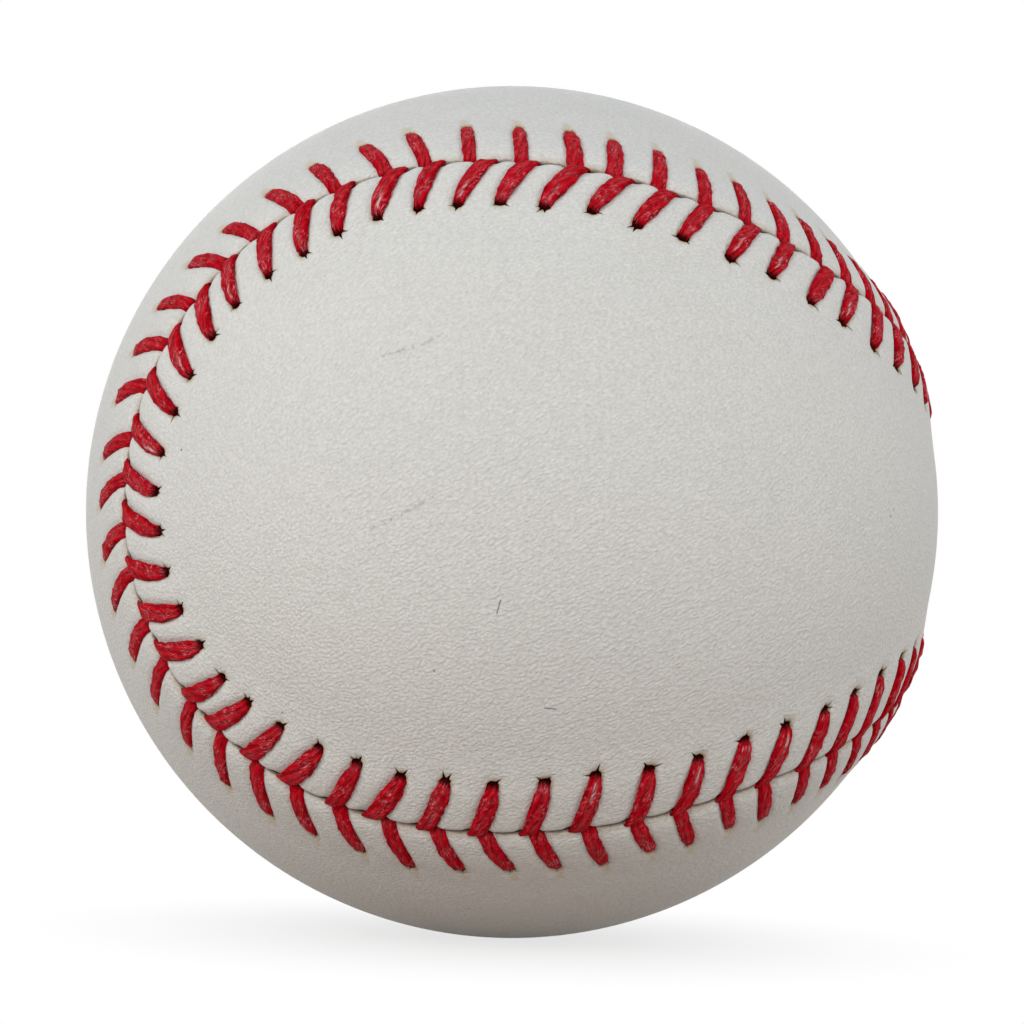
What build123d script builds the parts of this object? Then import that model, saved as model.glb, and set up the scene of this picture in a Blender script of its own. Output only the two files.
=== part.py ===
"""A baseball: cushioned cork centre, wound yarn, two leather panels and one laced seam.

Millimetres. The ball's centre is the origin. The front panel has its waist on +X and its two
lobes on -Y and +Y. The back panel has its waist on -X and its two lobes on +Z and -Z.
"""

import os
from bisect import bisect_right
from math import cos, pi, sin, sqrt

from build123d import *

# Cushioned cork centre
cork_diameter = 20.6
black_rubber_wall = 4.0
gasket_thickness = 1.2
red_rubber_wall = 3.1

# Wound yarn and the film of adhesive over it, thickness of each layer
four_ply_grey_wool = 13.76
three_ply_white_wool = 1.7
three_ply_grey_wool = 2.2
finishing_yarn = 0.35
adhesive_film = 0.05

# Leather cover
leather_thickness = 1.28
waist_width = 25.9
lip_radius = 0.7
welt_height = 0.6
welt_half_width = 8.0
channel_shoulder = 1.0

# Lacing: a lead is how far along the seam a thread travels from its hole to the seam
stitch_count = 108
thread_diameter = 0.8
stitch_reach = 5.2
front_lead = 2.2
back_lead = 1.8
hole_stagger = 0.8
bend_radius = 0.55

# Clearances
layer_clearance = 0.02
lacing_clearance = 0.04
hole_clearance = 0.1

# Radii of the layers, each built on the one inside it
cork_radius = cork_diameter / 2
black_inner = cork_radius + layer_clearance
black_outer = black_inner + black_rubber_wall
red_inner = black_outer + layer_clearance
red_outer = red_inner + red_rubber_wall
first_inner = red_outer + layer_clearance
first_outer = first_inner + four_ply_grey_wool
second_inner = first_outer + layer_clearance
second_outer = second_inner + three_ply_white_wool
third_inner = second_outer + layer_clearance
third_outer = third_inner + three_ply_grey_wool
finish_inner = third_outer + layer_clearance
finish_outer = finish_inner + finishing_yarn
adhesive_inner = finish_outer + layer_clearance
adhesive_outer = adhesive_inner + adhesive_film
leather_inner = adhesive_outer + layer_clearance
leather_outer = leather_inner + leather_thickness

# Lacing sizes that follow from the layers
thread_radius = thread_diameter / 2
hole_radius = thread_radius + hole_clearance
run_sag = (stitch_reach / 2) ** 2 / (8 * adhesive_outer)
under_radius = adhesive_outer + lacing_clearance + thread_radius + run_sag
channel_roof = under_radius + thread_radius + lacing_clearance
channel_half_width = stitch_reach + hole_radius
seam_gap = thread_diameter + 2 * lacing_clearance

# The crown of the welt is one arc, a little below the ball's surface at its two ends
sink = 0.05
welt_top = leather_outer + welt_height
welt_foot = sqrt(leather_outer**2 - welt_half_width**2) - sink
crown_rise = welt_top - welt_foot
crown_radius = (welt_half_width**2 + crown_rise**2) / (2 * crown_rise)
crown_sag = (stitch_reach / 2) ** 2 / (8 * crown_radius)

# The seam is one closed curve on a sphere, and the waist width sets its shape
seam_minor = (1 - waist_width / (2 * leather_outer)) / 2
seam_major = 1 - seam_minor
seam_swing = 2 * sqrt(seam_major * seam_minor)
seam_steps = 7200
spline_points = 96


def seam_point(turn):
    """Unit vector to the seam at a turn from 0 to 2 pi."""
    x = seam_swing * cos(2 * turn)
    y = -(seam_major * sin(turn) + seam_minor * sin(3 * turn))
    z = seam_major * cos(turn) - seam_minor * cos(3 * turn)
    return Vector(x, y, z)


def seam_tangent(turn):
    """Unit vector along the seam at a turn."""
    x = -2 * seam_swing * sin(2 * turn)
    y = -(seam_major * cos(turn) + 3 * seam_minor * cos(3 * turn))
    z = -seam_major * sin(turn) + 3 * seam_minor * sin(3 * turn)
    return Vector(x, y, z).normalized()


# Distance along the seam at each of many equal turns
seam_distance = [0.0]
for step in range(seam_steps):
    start = seam_point(2 * pi * step / seam_steps)
    end = seam_point(2 * pi * (step + 1) / seam_steps)
    seam_distance.append(seam_distance[-1] + (end - start).length * leather_outer)
seam_length = seam_distance[-1]
stitch_pitch = seam_length / stitch_count


def seam_spot(distance, lateral):
    """Unit vector to a spot along the seam and to one side of it, the front panel's side being +."""
    wrapped = distance % seam_length
    step = min(bisect_right(seam_distance, wrapped), seam_steps) - 1
    span = seam_distance[step + 1] - seam_distance[step]
    turn = 2 * pi * (step + (wrapped - seam_distance[step]) / span) / seam_steps
    point = seam_point(turn)
    across = point.cross(seam_tangent(turn))
    angle = lateral / leather_outer
    return point * cos(angle) + across * sin(angle)


def crown_height(lateral):
    """Radius of the welt's crown at a lateral distance from the seam."""
    height = welt_top - crown_radius + sqrt(crown_radius**2 - lateral**2)
    return sqrt(height**2 + lateral**2)


def hole_spot(stitch, side):
    """Unit vector to a stitch's hole, side 1 in the front panel and -1 in the back one."""
    shift = 0 if side > 0 else hole_stagger
    return seam_spot(shift - stitch * stitch_pitch, side * stitch_reach)


def dive_distance(stitch, side):
    """Distance along the seam at which a stitch's thread goes down between the panels."""
    shift = -front_lead if side > 0 else hole_stagger - back_lead
    return shift - stitch * stitch_pitch


# Seam path on the ball, and the same path farther out, which keeps a swept section radial
seam_turns = [2 * pi * step / spline_points for step in range(spline_points)]
with BuildLine() as seam_path:
    Spline(*[seam_point(turn) * leather_outer for turn in seam_turns], periodic=True)
with BuildLine() as radial_guide:
    Spline(*[seam_point(turn) * leather_outer * 2 for turn in seam_turns], periodic=True)
section_across = seam_point(0).cross(seam_tangent(0))
section_plane = Plane(
    origin=(0, 0, 0),
    x_dir=section_across,
    z_dir=section_across.cross(seam_point(0)),
)

# Cork core
with BuildPart() as cork_core:
    Sphere(cork_radius)

# Black rubber halves around the core, with a gasket between their rims
rim_height = gasket_thickness / 2 + layer_clearance
with BuildPart() as black_rubber_upper:
    with BuildSketch(Plane.XZ) as upper_profile:
        with BuildLine():
            outer_rim = sqrt(black_outer**2 - rim_height**2)
            inner_rim = sqrt(black_inner**2 - rim_height**2)
            RadiusArc((0, black_outer), (outer_rim, rim_height), black_outer)
            Line((outer_rim, rim_height), (inner_rim, rim_height))
            RadiusArc((inner_rim, rim_height), (0, black_inner), -black_inner)
            Line((0, black_inner), (0, black_outer))
        make_face()
    revolve(axis=Axis.Z)
with BuildPart() as black_rubber_lower:
    add(black_rubber_upper.part.rotate(Axis.X, 180))
with BuildPart() as centre_gasket:
    Cylinder(sqrt(black_outer**2 - (gasket_thickness / 2) ** 2), gasket_thickness)
    Cylinder(black_inner, gasket_thickness, mode=Mode.SUBTRACT)

# Red rubber moulded over the halves
with BuildPart() as red_rubber_layer:
    Sphere(red_outer)
    Sphere(red_inner, mode=Mode.SUBTRACT)

# Wound yarn, each winding a full layer
with BuildPart() as grey_wool_winding:
    Sphere(first_outer)
    Sphere(first_inner, mode=Mode.SUBTRACT)
with BuildPart() as white_wool_winding:
    Sphere(second_outer)
    Sphere(second_inner, mode=Mode.SUBTRACT)
with BuildPart() as outer_grey_wool_winding:
    Sphere(third_outer)
    Sphere(third_inner, mode=Mode.SUBTRACT)
with BuildPart() as finishing_yarn_winding:
    Sphere(finish_outer)
    Sphere(finish_inner, mode=Mode.SUBTRACT)
with BuildPart() as adhesive_coat:
    Sphere(adhesive_outer)
    Sphere(adhesive_inner, mode=Mode.SUBTRACT)

# Leather blank: a shell with a welt along the seam and a channel under it for the lacing
half_gap = seam_gap / 2
lip_base = welt_top - lip_radius + sink * 2
flare = 75 * pi / 180
lip_out = half_gap + lip_radius * (1 - cos(flare))
lip_up = lip_base + lip_radius * sin(flare)
lip_mid_out = half_gap + lip_radius * (1 - cos(flare / 2))
lip_mid_up = lip_base + lip_radius * sin(flare / 2)
channel_angle = channel_half_width / leather_inner
channel_side = channel_roof * sin(channel_angle)
channel_eave = channel_roof * cos(channel_angle)
channel_foot_side = channel_side + channel_shoulder
channel_foot = sqrt(leather_inner**2 - channel_foot_side**2) - sink
kerf_floor = leather_inner - leather_thickness
kerf_ceiling = welt_top + leather_thickness
with BuildPart() as leather_blank:
    Sphere(leather_outer, rotation=(0, 0, 180))
    with BuildSketch(section_plane) as welt_section:
        with BuildLine():
            ThreePointArc((-welt_half_width, welt_foot), (0, welt_top), (welt_half_width, welt_foot))
            Line((welt_half_width, welt_foot), (-welt_half_width, welt_foot))
        make_face()
    sweep(welt_section.sketch, path=seam_path.wire(), binormal=radial_guide.wire())
    Sphere(leather_inner, rotation=(0, 0, 180), mode=Mode.SUBTRACT)
    with BuildSketch(section_plane) as channel_section:
        with BuildLine():
            ThreePointArc((-channel_side, channel_eave), (0, channel_roof), (channel_side, channel_eave))
            Line((channel_side, channel_eave), (channel_foot_side, channel_foot))
            Line((channel_foot_side, channel_foot), (-channel_foot_side, channel_foot))
            Line((-channel_foot_side, channel_foot), (-channel_side, channel_eave))
        make_face()
    sweep(channel_section.sketch, path=seam_path.wire(), binormal=radial_guide.wire(), mode=Mode.SUBTRACT)
    with BuildSketch(section_plane) as kerf_section:
        with BuildLine():
            Polyline(
                (-half_gap, lip_base),
                (-half_gap, kerf_floor),
                (half_gap, kerf_floor),
                (half_gap, lip_base),
            )
            ThreePointArc((half_gap, lip_base), (lip_mid_out, lip_mid_up), (lip_out, lip_up))
            Polyline(
                (lip_out, lip_up),
                (lip_out, kerf_ceiling),
                (-lip_out, kerf_ceiling),
                (-lip_out, lip_up),
            )
            ThreePointArc((-lip_out, lip_up), (-lip_mid_out, lip_mid_up), (-half_gap, lip_base))
        make_face()
    sweep(kerf_section.sketch, path=seam_path.wire(), binormal=radial_guide.wire(), mode=Mode.SUBTRACT)
front_blank = leather_blank.solids().sort_by(Axis.X)[-1]

# Stitch holes go square through the leather
punch_height = 6 * leather_thickness


def punch_planes(side):
    """Planes square to the ball at each stitch hole of a panel."""
    spots = [hole_spot(stitch, side) for stitch in range(stitch_count)]
    return [Plane(origin=spot * leather_outer, z_dir=spot) for spot in spots]


# The two panels are one shape, turned half a turn onto each other
with BuildPart() as front_panel:
    add(front_blank)
    with Locations(*punch_planes(1)):
        Cylinder(hole_radius, punch_height, mode=Mode.SUBTRACT)
with BuildPart() as back_panel:
    add(front_blank.rotate(Axis((0, 0, 0), (0, 1, -1)), 180))
    with Locations(*punch_planes(-1)):
        Cylinder(hole_radius, punch_height, mode=Mode.SUBTRACT)

# Lacing: up through a hole, over its panel, down the seam and under the other panel to its next hole
over_lift = thread_radius + lacing_clearance
seam_over = welt_top + over_lift
hole_over = crown_height(stitch_reach) + over_lift
middle_over = crown_height(stitch_reach / 2) + over_lift + crown_sag
hole_middle = (under_radius + hole_over) / 2
span_stitches = 6


def lacing_points(stitch, side):
    """Corners of the thread from the middle of one hole to the middle of its next one."""
    hole = hole_spot(stitch, side)
    dive_at = dive_distance(stitch, side)
    dive = seam_spot(dive_at, 0)
    hole_at = dive_at + (front_lead if side > 0 else back_lead)
    over = seam_spot((hole_at + dive_at) / 2, side * stitch_reach / 2)
    following = hole_spot(stitch + 1, -side)
    next_hole_at = (0 if side < 0 else hole_stagger) - (stitch + 1) * stitch_pitch
    under = seam_spot((dive_at + next_hole_at) / 2, -side * stitch_reach / 2)
    return [
        hole * hole_middle,
        hole * hole_over,
        over * middle_over,
        dive * seam_over,
        dive * under_radius,
        under * under_radius,
        following * under_radius,
        following * hole_middle,
    ]


def lacing_spans(first_side):
    """Corners of one needle's thread, in spans that meet in the middle of a hole."""
    side = first_side
    spans = []
    for stitch in range(stitch_count):
        corners = lacing_points(stitch, side)
        if stitch == stitch_count - 1:
            corners = corners[:6]
        if stitch % span_stitches == 0:
            spans.append(corners)
        else:
            spans[-1] = spans[-1][:-1] + corners[1:]
        side = -side
    return spans


with BuildPart() as first_lacing:
    with BuildLine() as first_route:
        for corners in lacing_spans(1):
            FilletPolyline(*corners, radius=bend_radius)
    with BuildSketch(Plane(origin=first_route.wire() @ 0, z_dir=first_route.wire() % 0)):
        Circle(thread_radius)
    sweep(path=first_route.wire())
with BuildPart() as second_lacing:
    with BuildLine() as second_route:
        for corners in lacing_spans(-1):
            FilletPolyline(*corners, radius=bend_radius)
    with BuildSketch(Plane(origin=second_route.wire() @ 0, z_dir=second_route.wire() % 0)):
        Circle(thread_radius)
    sweep(path=second_route.wire())

# One file for each piece
pieces = {
    "cork_core": cork_core,
    "black_rubber_upper": black_rubber_upper,
    "black_rubber_lower": black_rubber_lower,
    "centre_gasket": centre_gasket,
    "red_rubber_layer": red_rubber_layer,
    "grey_wool_winding": grey_wool_winding,
    "white_wool_winding": white_wool_winding,
    "outer_grey_wool_winding": outer_grey_wool_winding,
    "finishing_yarn_winding": finishing_yarn_winding,
    "adhesive_coat": adhesive_coat,
    "front_panel": front_panel,
    "back_panel": back_panel,
    "first_lacing": first_lacing,
    "second_lacing": second_lacing,
}
os.makedirs("parts", exist_ok=True)
for name, piece in pieces.items():
    piece.part.label = name
    export_step(piece.part, f"parts/{name}.step")
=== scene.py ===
"""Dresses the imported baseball: leather cover, waxed red lacing, the layers inside and a plain studio."""

from functools import reduce
from math import pi, sqrt, tau
from typing import NamedTuple

import bmesh
import bpy
import numpy as np
from bpy.props import FloatProperty, FloatVectorProperty, IntProperty, PointerProperty
from bpy.types import Operator, Panel, PropertyGroup
from mathutils import Matrix, Vector
from mathutils.geometry import delaunay_2d_cdt


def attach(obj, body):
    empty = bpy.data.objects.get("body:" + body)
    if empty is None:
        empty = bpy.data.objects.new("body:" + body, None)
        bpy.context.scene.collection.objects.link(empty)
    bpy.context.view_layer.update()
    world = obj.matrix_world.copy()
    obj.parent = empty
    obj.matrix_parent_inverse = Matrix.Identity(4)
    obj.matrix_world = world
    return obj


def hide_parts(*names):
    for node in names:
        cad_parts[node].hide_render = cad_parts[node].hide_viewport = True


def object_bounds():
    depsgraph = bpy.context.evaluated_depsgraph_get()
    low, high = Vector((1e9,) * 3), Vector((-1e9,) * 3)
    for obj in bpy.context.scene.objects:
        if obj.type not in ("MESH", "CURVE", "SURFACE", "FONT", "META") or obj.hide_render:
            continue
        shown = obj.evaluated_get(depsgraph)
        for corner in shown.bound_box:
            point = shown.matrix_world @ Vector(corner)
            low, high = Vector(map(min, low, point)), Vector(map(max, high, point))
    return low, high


bl_info = {
    "name": "Baseball",
    "version": (1, 0, 0),
    "blender": (4, 5, 0),
    "location": "View3D > Sidebar > Baseball",
    "description": "Leather cover, red lacing, inner layers and a plain studio for the packed ball",
    "category": "Object",
}

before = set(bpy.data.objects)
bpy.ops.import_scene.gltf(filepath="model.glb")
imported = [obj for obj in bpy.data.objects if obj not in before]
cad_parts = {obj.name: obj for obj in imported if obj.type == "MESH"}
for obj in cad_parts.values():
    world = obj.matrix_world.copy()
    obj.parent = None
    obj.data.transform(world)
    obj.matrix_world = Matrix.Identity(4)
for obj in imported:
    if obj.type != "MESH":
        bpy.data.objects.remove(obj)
CAD_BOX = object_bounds()
MM = 0.001
SEED = 108
RIM_SEED = SEED + 10

# The cover's relief, as shares. The welt's height over its width, from the seam outwards.
WELT_PROFILE = ((0.0, 1.0), (0.25, 0.92), (0.5, 0.7), (0.75, 0.36), (0.9, 0.11), (1.0, 0.0))
# How far the cut edge rolls down, over the lip's width.
LIP_PROFILE = ((0.0, 1.0), (0.1, 0.72), (0.25, 0.42), (0.5, 0.13), (1.0, 0.0))
# Leather beside a leg of thread, over this many of the leg's half widths: pressed in, then a pillow.
PRESS_REACH = 4.0
PRESS_PROFILE = ((0.0, 0.0), (0.2, 0.06), (0.25, 0.24), (0.31, 0.66), (0.38, 0.92), (0.5, 1.0), (1.0, 1.0))
# The share of the press depth that lies below the plain welt. The rest is the pillow's rise.
PRESS_SINK = 0.7
# Where along its own width the sewn strip swells between the legs.
SEWN_PROFILE = ((0.0, 1.0), (0.55, 1.0), (0.72, 0.7), (0.86, 0.22), (1.0, 0.0))
# The dip round a hole.
DIMPLE_PROFILE = ((0.0, 1.0), (0.25, 0.55), (0.6, 0.12), (1.0, 0.0))

# A hand-sewn seam isn't even. Each pair is a place along the seam and a shift there, in millimetres, and the
# ball's far side repeats them. The seam wanders across, the stitches drift along it, and the back holes run
# ahead or behind.
SEAM_WANDER = (
    (25, 0.2), (42, 0.2), (52, -0.25), (65, -0.65), (76, -0.3), (86, 0.4), (92, 0.7), (102, 0.65),
    (113, 0.15), (123, -0.45), (136, -0.35), (152, 0.1), (170, 0.1), (180, -0.4),
)
STITCH_DRIFT = (
    (24, 1.0), (50, 1.05), (58, 0.85), (66, 0.15), (78, -0.3), (88, 0.1), (104, 0.35), (118, 0.5),
    (145, 0.4), (153, 0.7), (161, 1.5), (185, 1.9),
)
HOLE_STAGGER = (
    (30, -0.9), (42, -1.2), (55, -1.0), (65, 0.6), (70, 1.05), (80, 1.7), (90, 1.2), (99, 1.2), (106, 0.7),
    (113, 0.6), (120, 0.2), (127, 0.6), (137, 0.65), (149, 1.35), (155, 0.8), (163, 0.25), (175, 0.2),
)
USUAL_STAGGER = 0.35 * MM
# The shifts are averaged over this distance each way, with less weight further out.
SMOOTH_REACH = 4.0 * MM
SMOOTH_FADE = 5.0 * MM
SMOOTH_STEPS = 9


class LegStyle(NamedTuple):
    """The legs and holes of one panel. Path and profiles run from a leg's hole to the seam."""

    number: int
    # The panel's side of the seam.
    side: float
    # A bent path, in shares of the leg's lead and reach.
    path: tuple
    # Half width, as a share of the girth.
    width: tuple
    # How far the cross-section turns to lie along the seam.
    slant: tuple
    # Height of the middle over the welt, as a share between its deepest and highest point.
    height: tuple
    # Places along the seam in millimetres with what is added there: length and foot shift in millimetres,
    # fullness as a share of the width.
    length: tuple
    foot: tuple
    fullness: tuple
    # How far the holes follow the stagger, and how far the legs turn with it.
    stagger: float
    pull: float
    # How much the holes differ in their distance from the seam.
    scatter: float
    # The slit past a hole, the share of a full tear at its rim, and how raw the cut edge is.
    slit: float
    tears: float
    rawness: float


FRONT = LegStyle(
    number=0,
    side=1.0,
    path=((0.05, 0.05), (-0.28, -0.34), (-0.64, -0.74), (-1.04, -1.04)),
    width=((0.0, 0.62), (0.1, 0.72), (0.22, 0.9), (0.38, 1.02), (0.6, 1.04), (0.82, 1.02), (1.0, 1.28)),
    slant=((0.0, 0.0), (0.5, 0.0), (0.82, 0.7), (1.0, 1.0)),
    height=(
        (0.0, 0.0), (0.04, 0.5), (0.1, 0.9), (0.2, 1.0), (0.68, 1.0), (0.84, 0.9), (0.93, 0.74), (1.0, 0.4),
    ),
    length=(
        (25, 0.0), (40, -0.3), (60, -0.3), (80, -0.15), (105, -0.1), (120, 0.0), (150, 0.1), (180, 0.0),
    ),
    foot=(
        (30, 0.3), (54, 0.5), (70, 0.2), (92, -0.2), (110, 0.25), (132, 0.25), (150, 0.4), (165, 0.8),
        (185, 0.8),
    ),
    fullness=((45, 0.02), (75, 0.05), (92, 0.1), (112, 0.13), (135, 0.14), (150, 0.02)),
    stagger=0.0,
    pull=0.35,
    scatter=0.15 * MM,
    slit=0.6 * MM,
    tears=1.0,
    rawness=0.3,
)
BACK = LegStyle(
    number=1,
    side=-1.0,
    path=((0.06, -0.035), (-0.34, 0.315), (-0.8, 0.64), (-1.04, 1.02)),
    width=((0.0, 0.5), (0.08, 0.66), (0.2, 0.86), (0.38, 0.97), (0.6, 1.0), (0.85, 1.04), (1.0, 1.08)),
    slant=((0.0, 0.0), (0.6, 0.0), (0.9, 0.8), (1.0, 1.0)),
    height=(
        (0.0, 0.1), (0.04, 0.5), (0.1, 0.8), (0.2, 0.88), (0.4, 0.92), (0.6, 0.91), (0.75, 0.86),
        (0.88, 0.72), (1.0, 0.4),
    ),
    length=(
        (25, 0.0), (45, 0.45), (70, 0.55), (90, 0.8), (125, 0.75), (140, 0.1), (155, -0.5), (180, -0.2),
    ),
    foot=((0, 0.0),),
    fullness=((30, 0.0), (125, 0.0), (145, 0.08), (170, 0.08), (185, 0.0)),
    stagger=1.0,
    pull=0.7,
    scatter=0.25 * MM,
    slit=1.35 * MM,
    tears=0.35,
    rawness=1.0,
)

# How much single stitches differ: along the seam, in lean, in width and in thickness.
ALONG_SCATTER = 0.08 * MM
LEAN_SCATTER = 0.025
WIDTH_SCATTER = 0.06
WIDTH_LIMITS = (0.88, 1.14)
THICKNESS_SCATTER = 0.08
THICKNESS_LIMITS = (0.85, 1.2)

# A hole's rim and the tears on its far side. Angles are in radians, lengths in millimetres.
RIM_POINTS = 18
RIM_JITTER = 0.06
RIM_ROUGHNESS = 0.05
RIM_DRAWS = 64
FAR_STRETCH = 0.18
NEAR_STRETCH = -0.1
TEAR_SPREAD = 1.35
# Two to four tears.
TEAR_COUNTS = (2, 5)
TEAR_LENGTHS = (0.36, 0.85)
TEAR_HALF_ANGLE = 0.2
TEAR_ROOM = 0.26
TEARS_APART = 0.5

# Rows of points on a panel's outer face, in millimetres from the seam, finest at the lip.
LIP_ROWS = (0.2, 0.34, 0.5, 0.68, 0.88, 1.1, 1.34, 1.6, 1.88)
ROW_STEP = 0.29
LAST_EVEN_ROW = 6.9
WIDE_ROWS = (7.3, 7.75)
COLUMNS_EACH_STITCH = 14
HOLE_ROOM = 0.11
# Rows of its inner face: points for each stitch, distance from the seam and room round a hole.
INNER_ROWS = ((7, 0.6, 0.2), (5, 1.7, 0.5), (4, 3.2, 0.9), (3, 7.4, 0.9))
# Scattered points further out: their spacing, and how far from the seam they start.
OUTER_FIELD = (0.8 * MM, 8.2 * MM)
INNER_FIELD = (2.6 * MM, 9.2 * MM)
# The area that a scattered point takes up, in squares of the spacing.
POINT_AREA = 0.87
# Points that are closer than this on the flat map are one.
SAME_POINT = 1e-9
# The distance kept for points with no hole near them, and how fast a slit narrows.
FAR_FROM_HOLE = 4.0 * MM
SLIT_TAPER = 0.2

# A leg's mesh: steps of its bend, rings and sides, how much its round is flattened, and its greatest half
# thickness as a share of its half width.
BEND_STEPS = 32
LEG_RINGS = 15
LEG_SIDES = 14
FLATTENING = 1.35
THICKEST = 0.8
# Uneven bumps along the thread, in repeats per metre.
LOOSE_SCALE = 1500.0
# One in so many of the seam's points guides the lacing.
GUIDE_STRIDE = 5

# The photograph's camera: turn of the ball as yaw, pitch and roll, distance in ball radii, and the ball's
# outline in pixels.
CAMERA_TURN = (0.1853, -0.0447, 0.0345)
CAMERA_AWAY = 7.418
PHOTO_MIDDLE = (511.8, 511.9)
PHOTO_RADIUS = 426.1
PHOTO_STRETCH = (1.0043, 0.9957)
SENSOR_WIDTH = 36.0
FOCAL_LENGTH = 110.1
CLIP_START = 0.01

# Sizes that the two geometry trees take as inputs of the same names.
COVER_SIZES = (
    "Welt Height", "Welt Width", "Lip Drop", "Press Depth", "Sewn Width", "Dimple Depth", "Dimple Width",
)
LACING_SIZES = (
    "Ball Radius", "Welt Height", "Welt Width", "Front Lead", "Front Reach", "Front Girth", "Back Lead",
    "Back Reach", "Back Girth", "Thread Thickness", "Thread Rise", "Thread Dive", "Loose Shift",
)


def size(name, description, default):
    """A length that a user may change, in metres."""
    return FloatProperty(name=name, description=description, default=default, unit="LENGTH", precision=5)


def colour(name, description, default):
    """A colour that a user may change, in linear light."""
    return FloatVectorProperty(
        name=name, description=description, default=default, subtype="COLOR", size=3, min=0.0, max=1.0
    )


class BaseballSizes(PropertyGroup):
    """Sizes of the cover and the lacing."""

    ball_radius: size("Ball radius", "Outside of the plain leather", -CAD_BOX[0].z)
    waist_width: size("Waist", "Width of a panel at its narrowest", 25.9 * MM)
    leather_thickness: size("Leather", "Thickness of the cover", 1.28 * MM)
    edge_gap: size("Edge gap", "From the seam to a panel's cut edge", 0.09 * MM)
    welt_height: size("Welt height", "Rise of the cover along the seam", 0.45 * MM)
    welt_width: size("Welt width", "From the seam to plain leather", 8.0 * MM)
    lip_drop: size("Lip drop", "How far the cut edge rolls down", 0.55 * MM)
    front_lip_width: size("Front lip width", "Width of the front panel's rolled edge", 1.0 * MM)
    back_lip_width: size("Back lip width", "Width of the back panel's rolled edge", 1.9 * MM)
    press_depth: size("Press depth", "How far the thread sinks the leather", 0.3 * MM)
    sewn_width: size("Sewn width", "Strip in which the leather swells between stitches", 6.6 * MM)
    dimple_depth: size("Dimple depth", "Dip of the leather round a hole", 0.16 * MM)
    dimple_width: size("Dimple width", "Width of the dip around a stitch hole", 1.7 * MM)
    front_hole_width: size("Front hole width", "Across a stitch hole of the front panel", 1.02 * MM)
    back_hole_width: size("Back hole width", "Across a stitch hole of the back panel", 0.64 * MM)
    front_reach: size("Front reach", "From the seam to a front hole", 4.95 * MM)
    back_reach: size("Back reach", "From the seam to a back hole", 5.3 * MM)
    front_lead: size("Front lead", "How far a front leg leans along the seam", 2.1 * MM)
    back_lead: size("Back lead", "How far a back leg leans along the seam", 1.3 * MM)
    front_girth: size("Front girth", "Half width of a front leg", 0.71 * MM)
    back_girth: size("Back girth", "Half width of a back leg", 0.62 * MM)
    thread_thickness: size("Thread thickness", "Thickness of a leg of pressed thread", 0.5 * MM)
    thread_rise: size("Thread rise", "Middle of a leg over the welt", 0.02 * MM)
    thread_dive: size("Thread dive", "Depth of the thread's middle in its hole", 0.95 * MM)
    loose_shift: size("Loose shift", "How uneven the thread's surface is", 0.42 * MM)
    stitch_count: IntProperty(name="Stitches", description="Stitches round the seam", default=108, min=12)


class BaseballColours(PropertyGroup):
    """Colours of the finishes, in linear light."""

    leather: colour("Leather", "Plain cover leather", (0.70, 0.682, 0.652))
    leather_raw: colour("Raw leather", "Cut edges and torn fibres", (0.50, 0.38, 0.25))
    leather_torn: colour("Torn leather", "Slits that run on past the holes", (0.62, 0.53, 0.41))
    leather_mark: colour("Scuffs", "Scuffs on the leather", (0.40, 0.33, 0.25))
    speck: colour("Specks", "Dark specks in the leather", (0.12, 0.09, 0.07))
    hair: colour("Hairs", "Stray hairs on the leather", (0.06, 0.05, 0.05))
    # Painted shade: near black deep in a hole, brown in the seam gap and along the seam line.
    painted_hole_shade: colour("Hole", "Deep inside a hole", (0.020, 0.014, 0.011))
    painted_seam_shade: colour("Seam depth", "Inside of the seam", (0.10, 0.068, 0.048))
    thread: colour("Thread", "Waxed thread", (0.68, 0.001, 0.014))
    thread_shade: colour("Thread shade", "Between the strands", (0.26, 0.0005, 0.003))
    # Partly the thread's own waxy coating, partly painted highlight.
    wax: colour("Wax", "Wax left on the thread", (0.80, 0.36, 0.40))
    # Painted white glints near the holes of some front legs.
    wax_white: colour("White wax", "Thick wax near a hole", (0.82, 0.62, 0.63))
    cork: colour("Cork", "Composition cork", (0.36, 0.20, 0.09))
    black_rubber: colour("Black rubber", "Half shells", (0.018, 0.018, 0.019))
    red_rubber: colour("Red rubber", "Gasket and outer rubber", (0.30, 0.030, 0.022))
    grey_wool: colour("Grey wool", "Grey windings", (0.24, 0.235, 0.225))
    white_wool: colour("White wool", "White winding", (0.66, 0.63, 0.56))
    finishing_yarn: colour("Finishing yarn", "Fine outer yarn", (0.70, 0.68, 0.62))
    adhesive: colour("Adhesive", "Film under the cover", (0.46, 0.36, 0.20))
    floor: colour("Floor", "Pale floor", (0.80, 0.80, 0.80))
    floor_bounce: colour("Floor bounce", "Light that the floor throws back", (0.48, 0.40, 0.35))
    sky: colour("Sky", "Soft light from all round", (0.80, 0.89, 1.0))
    lamp: colour("Lamps", "Light of the studio lamps", (1.0, 0.997, 0.95))


# Node helpers


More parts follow.
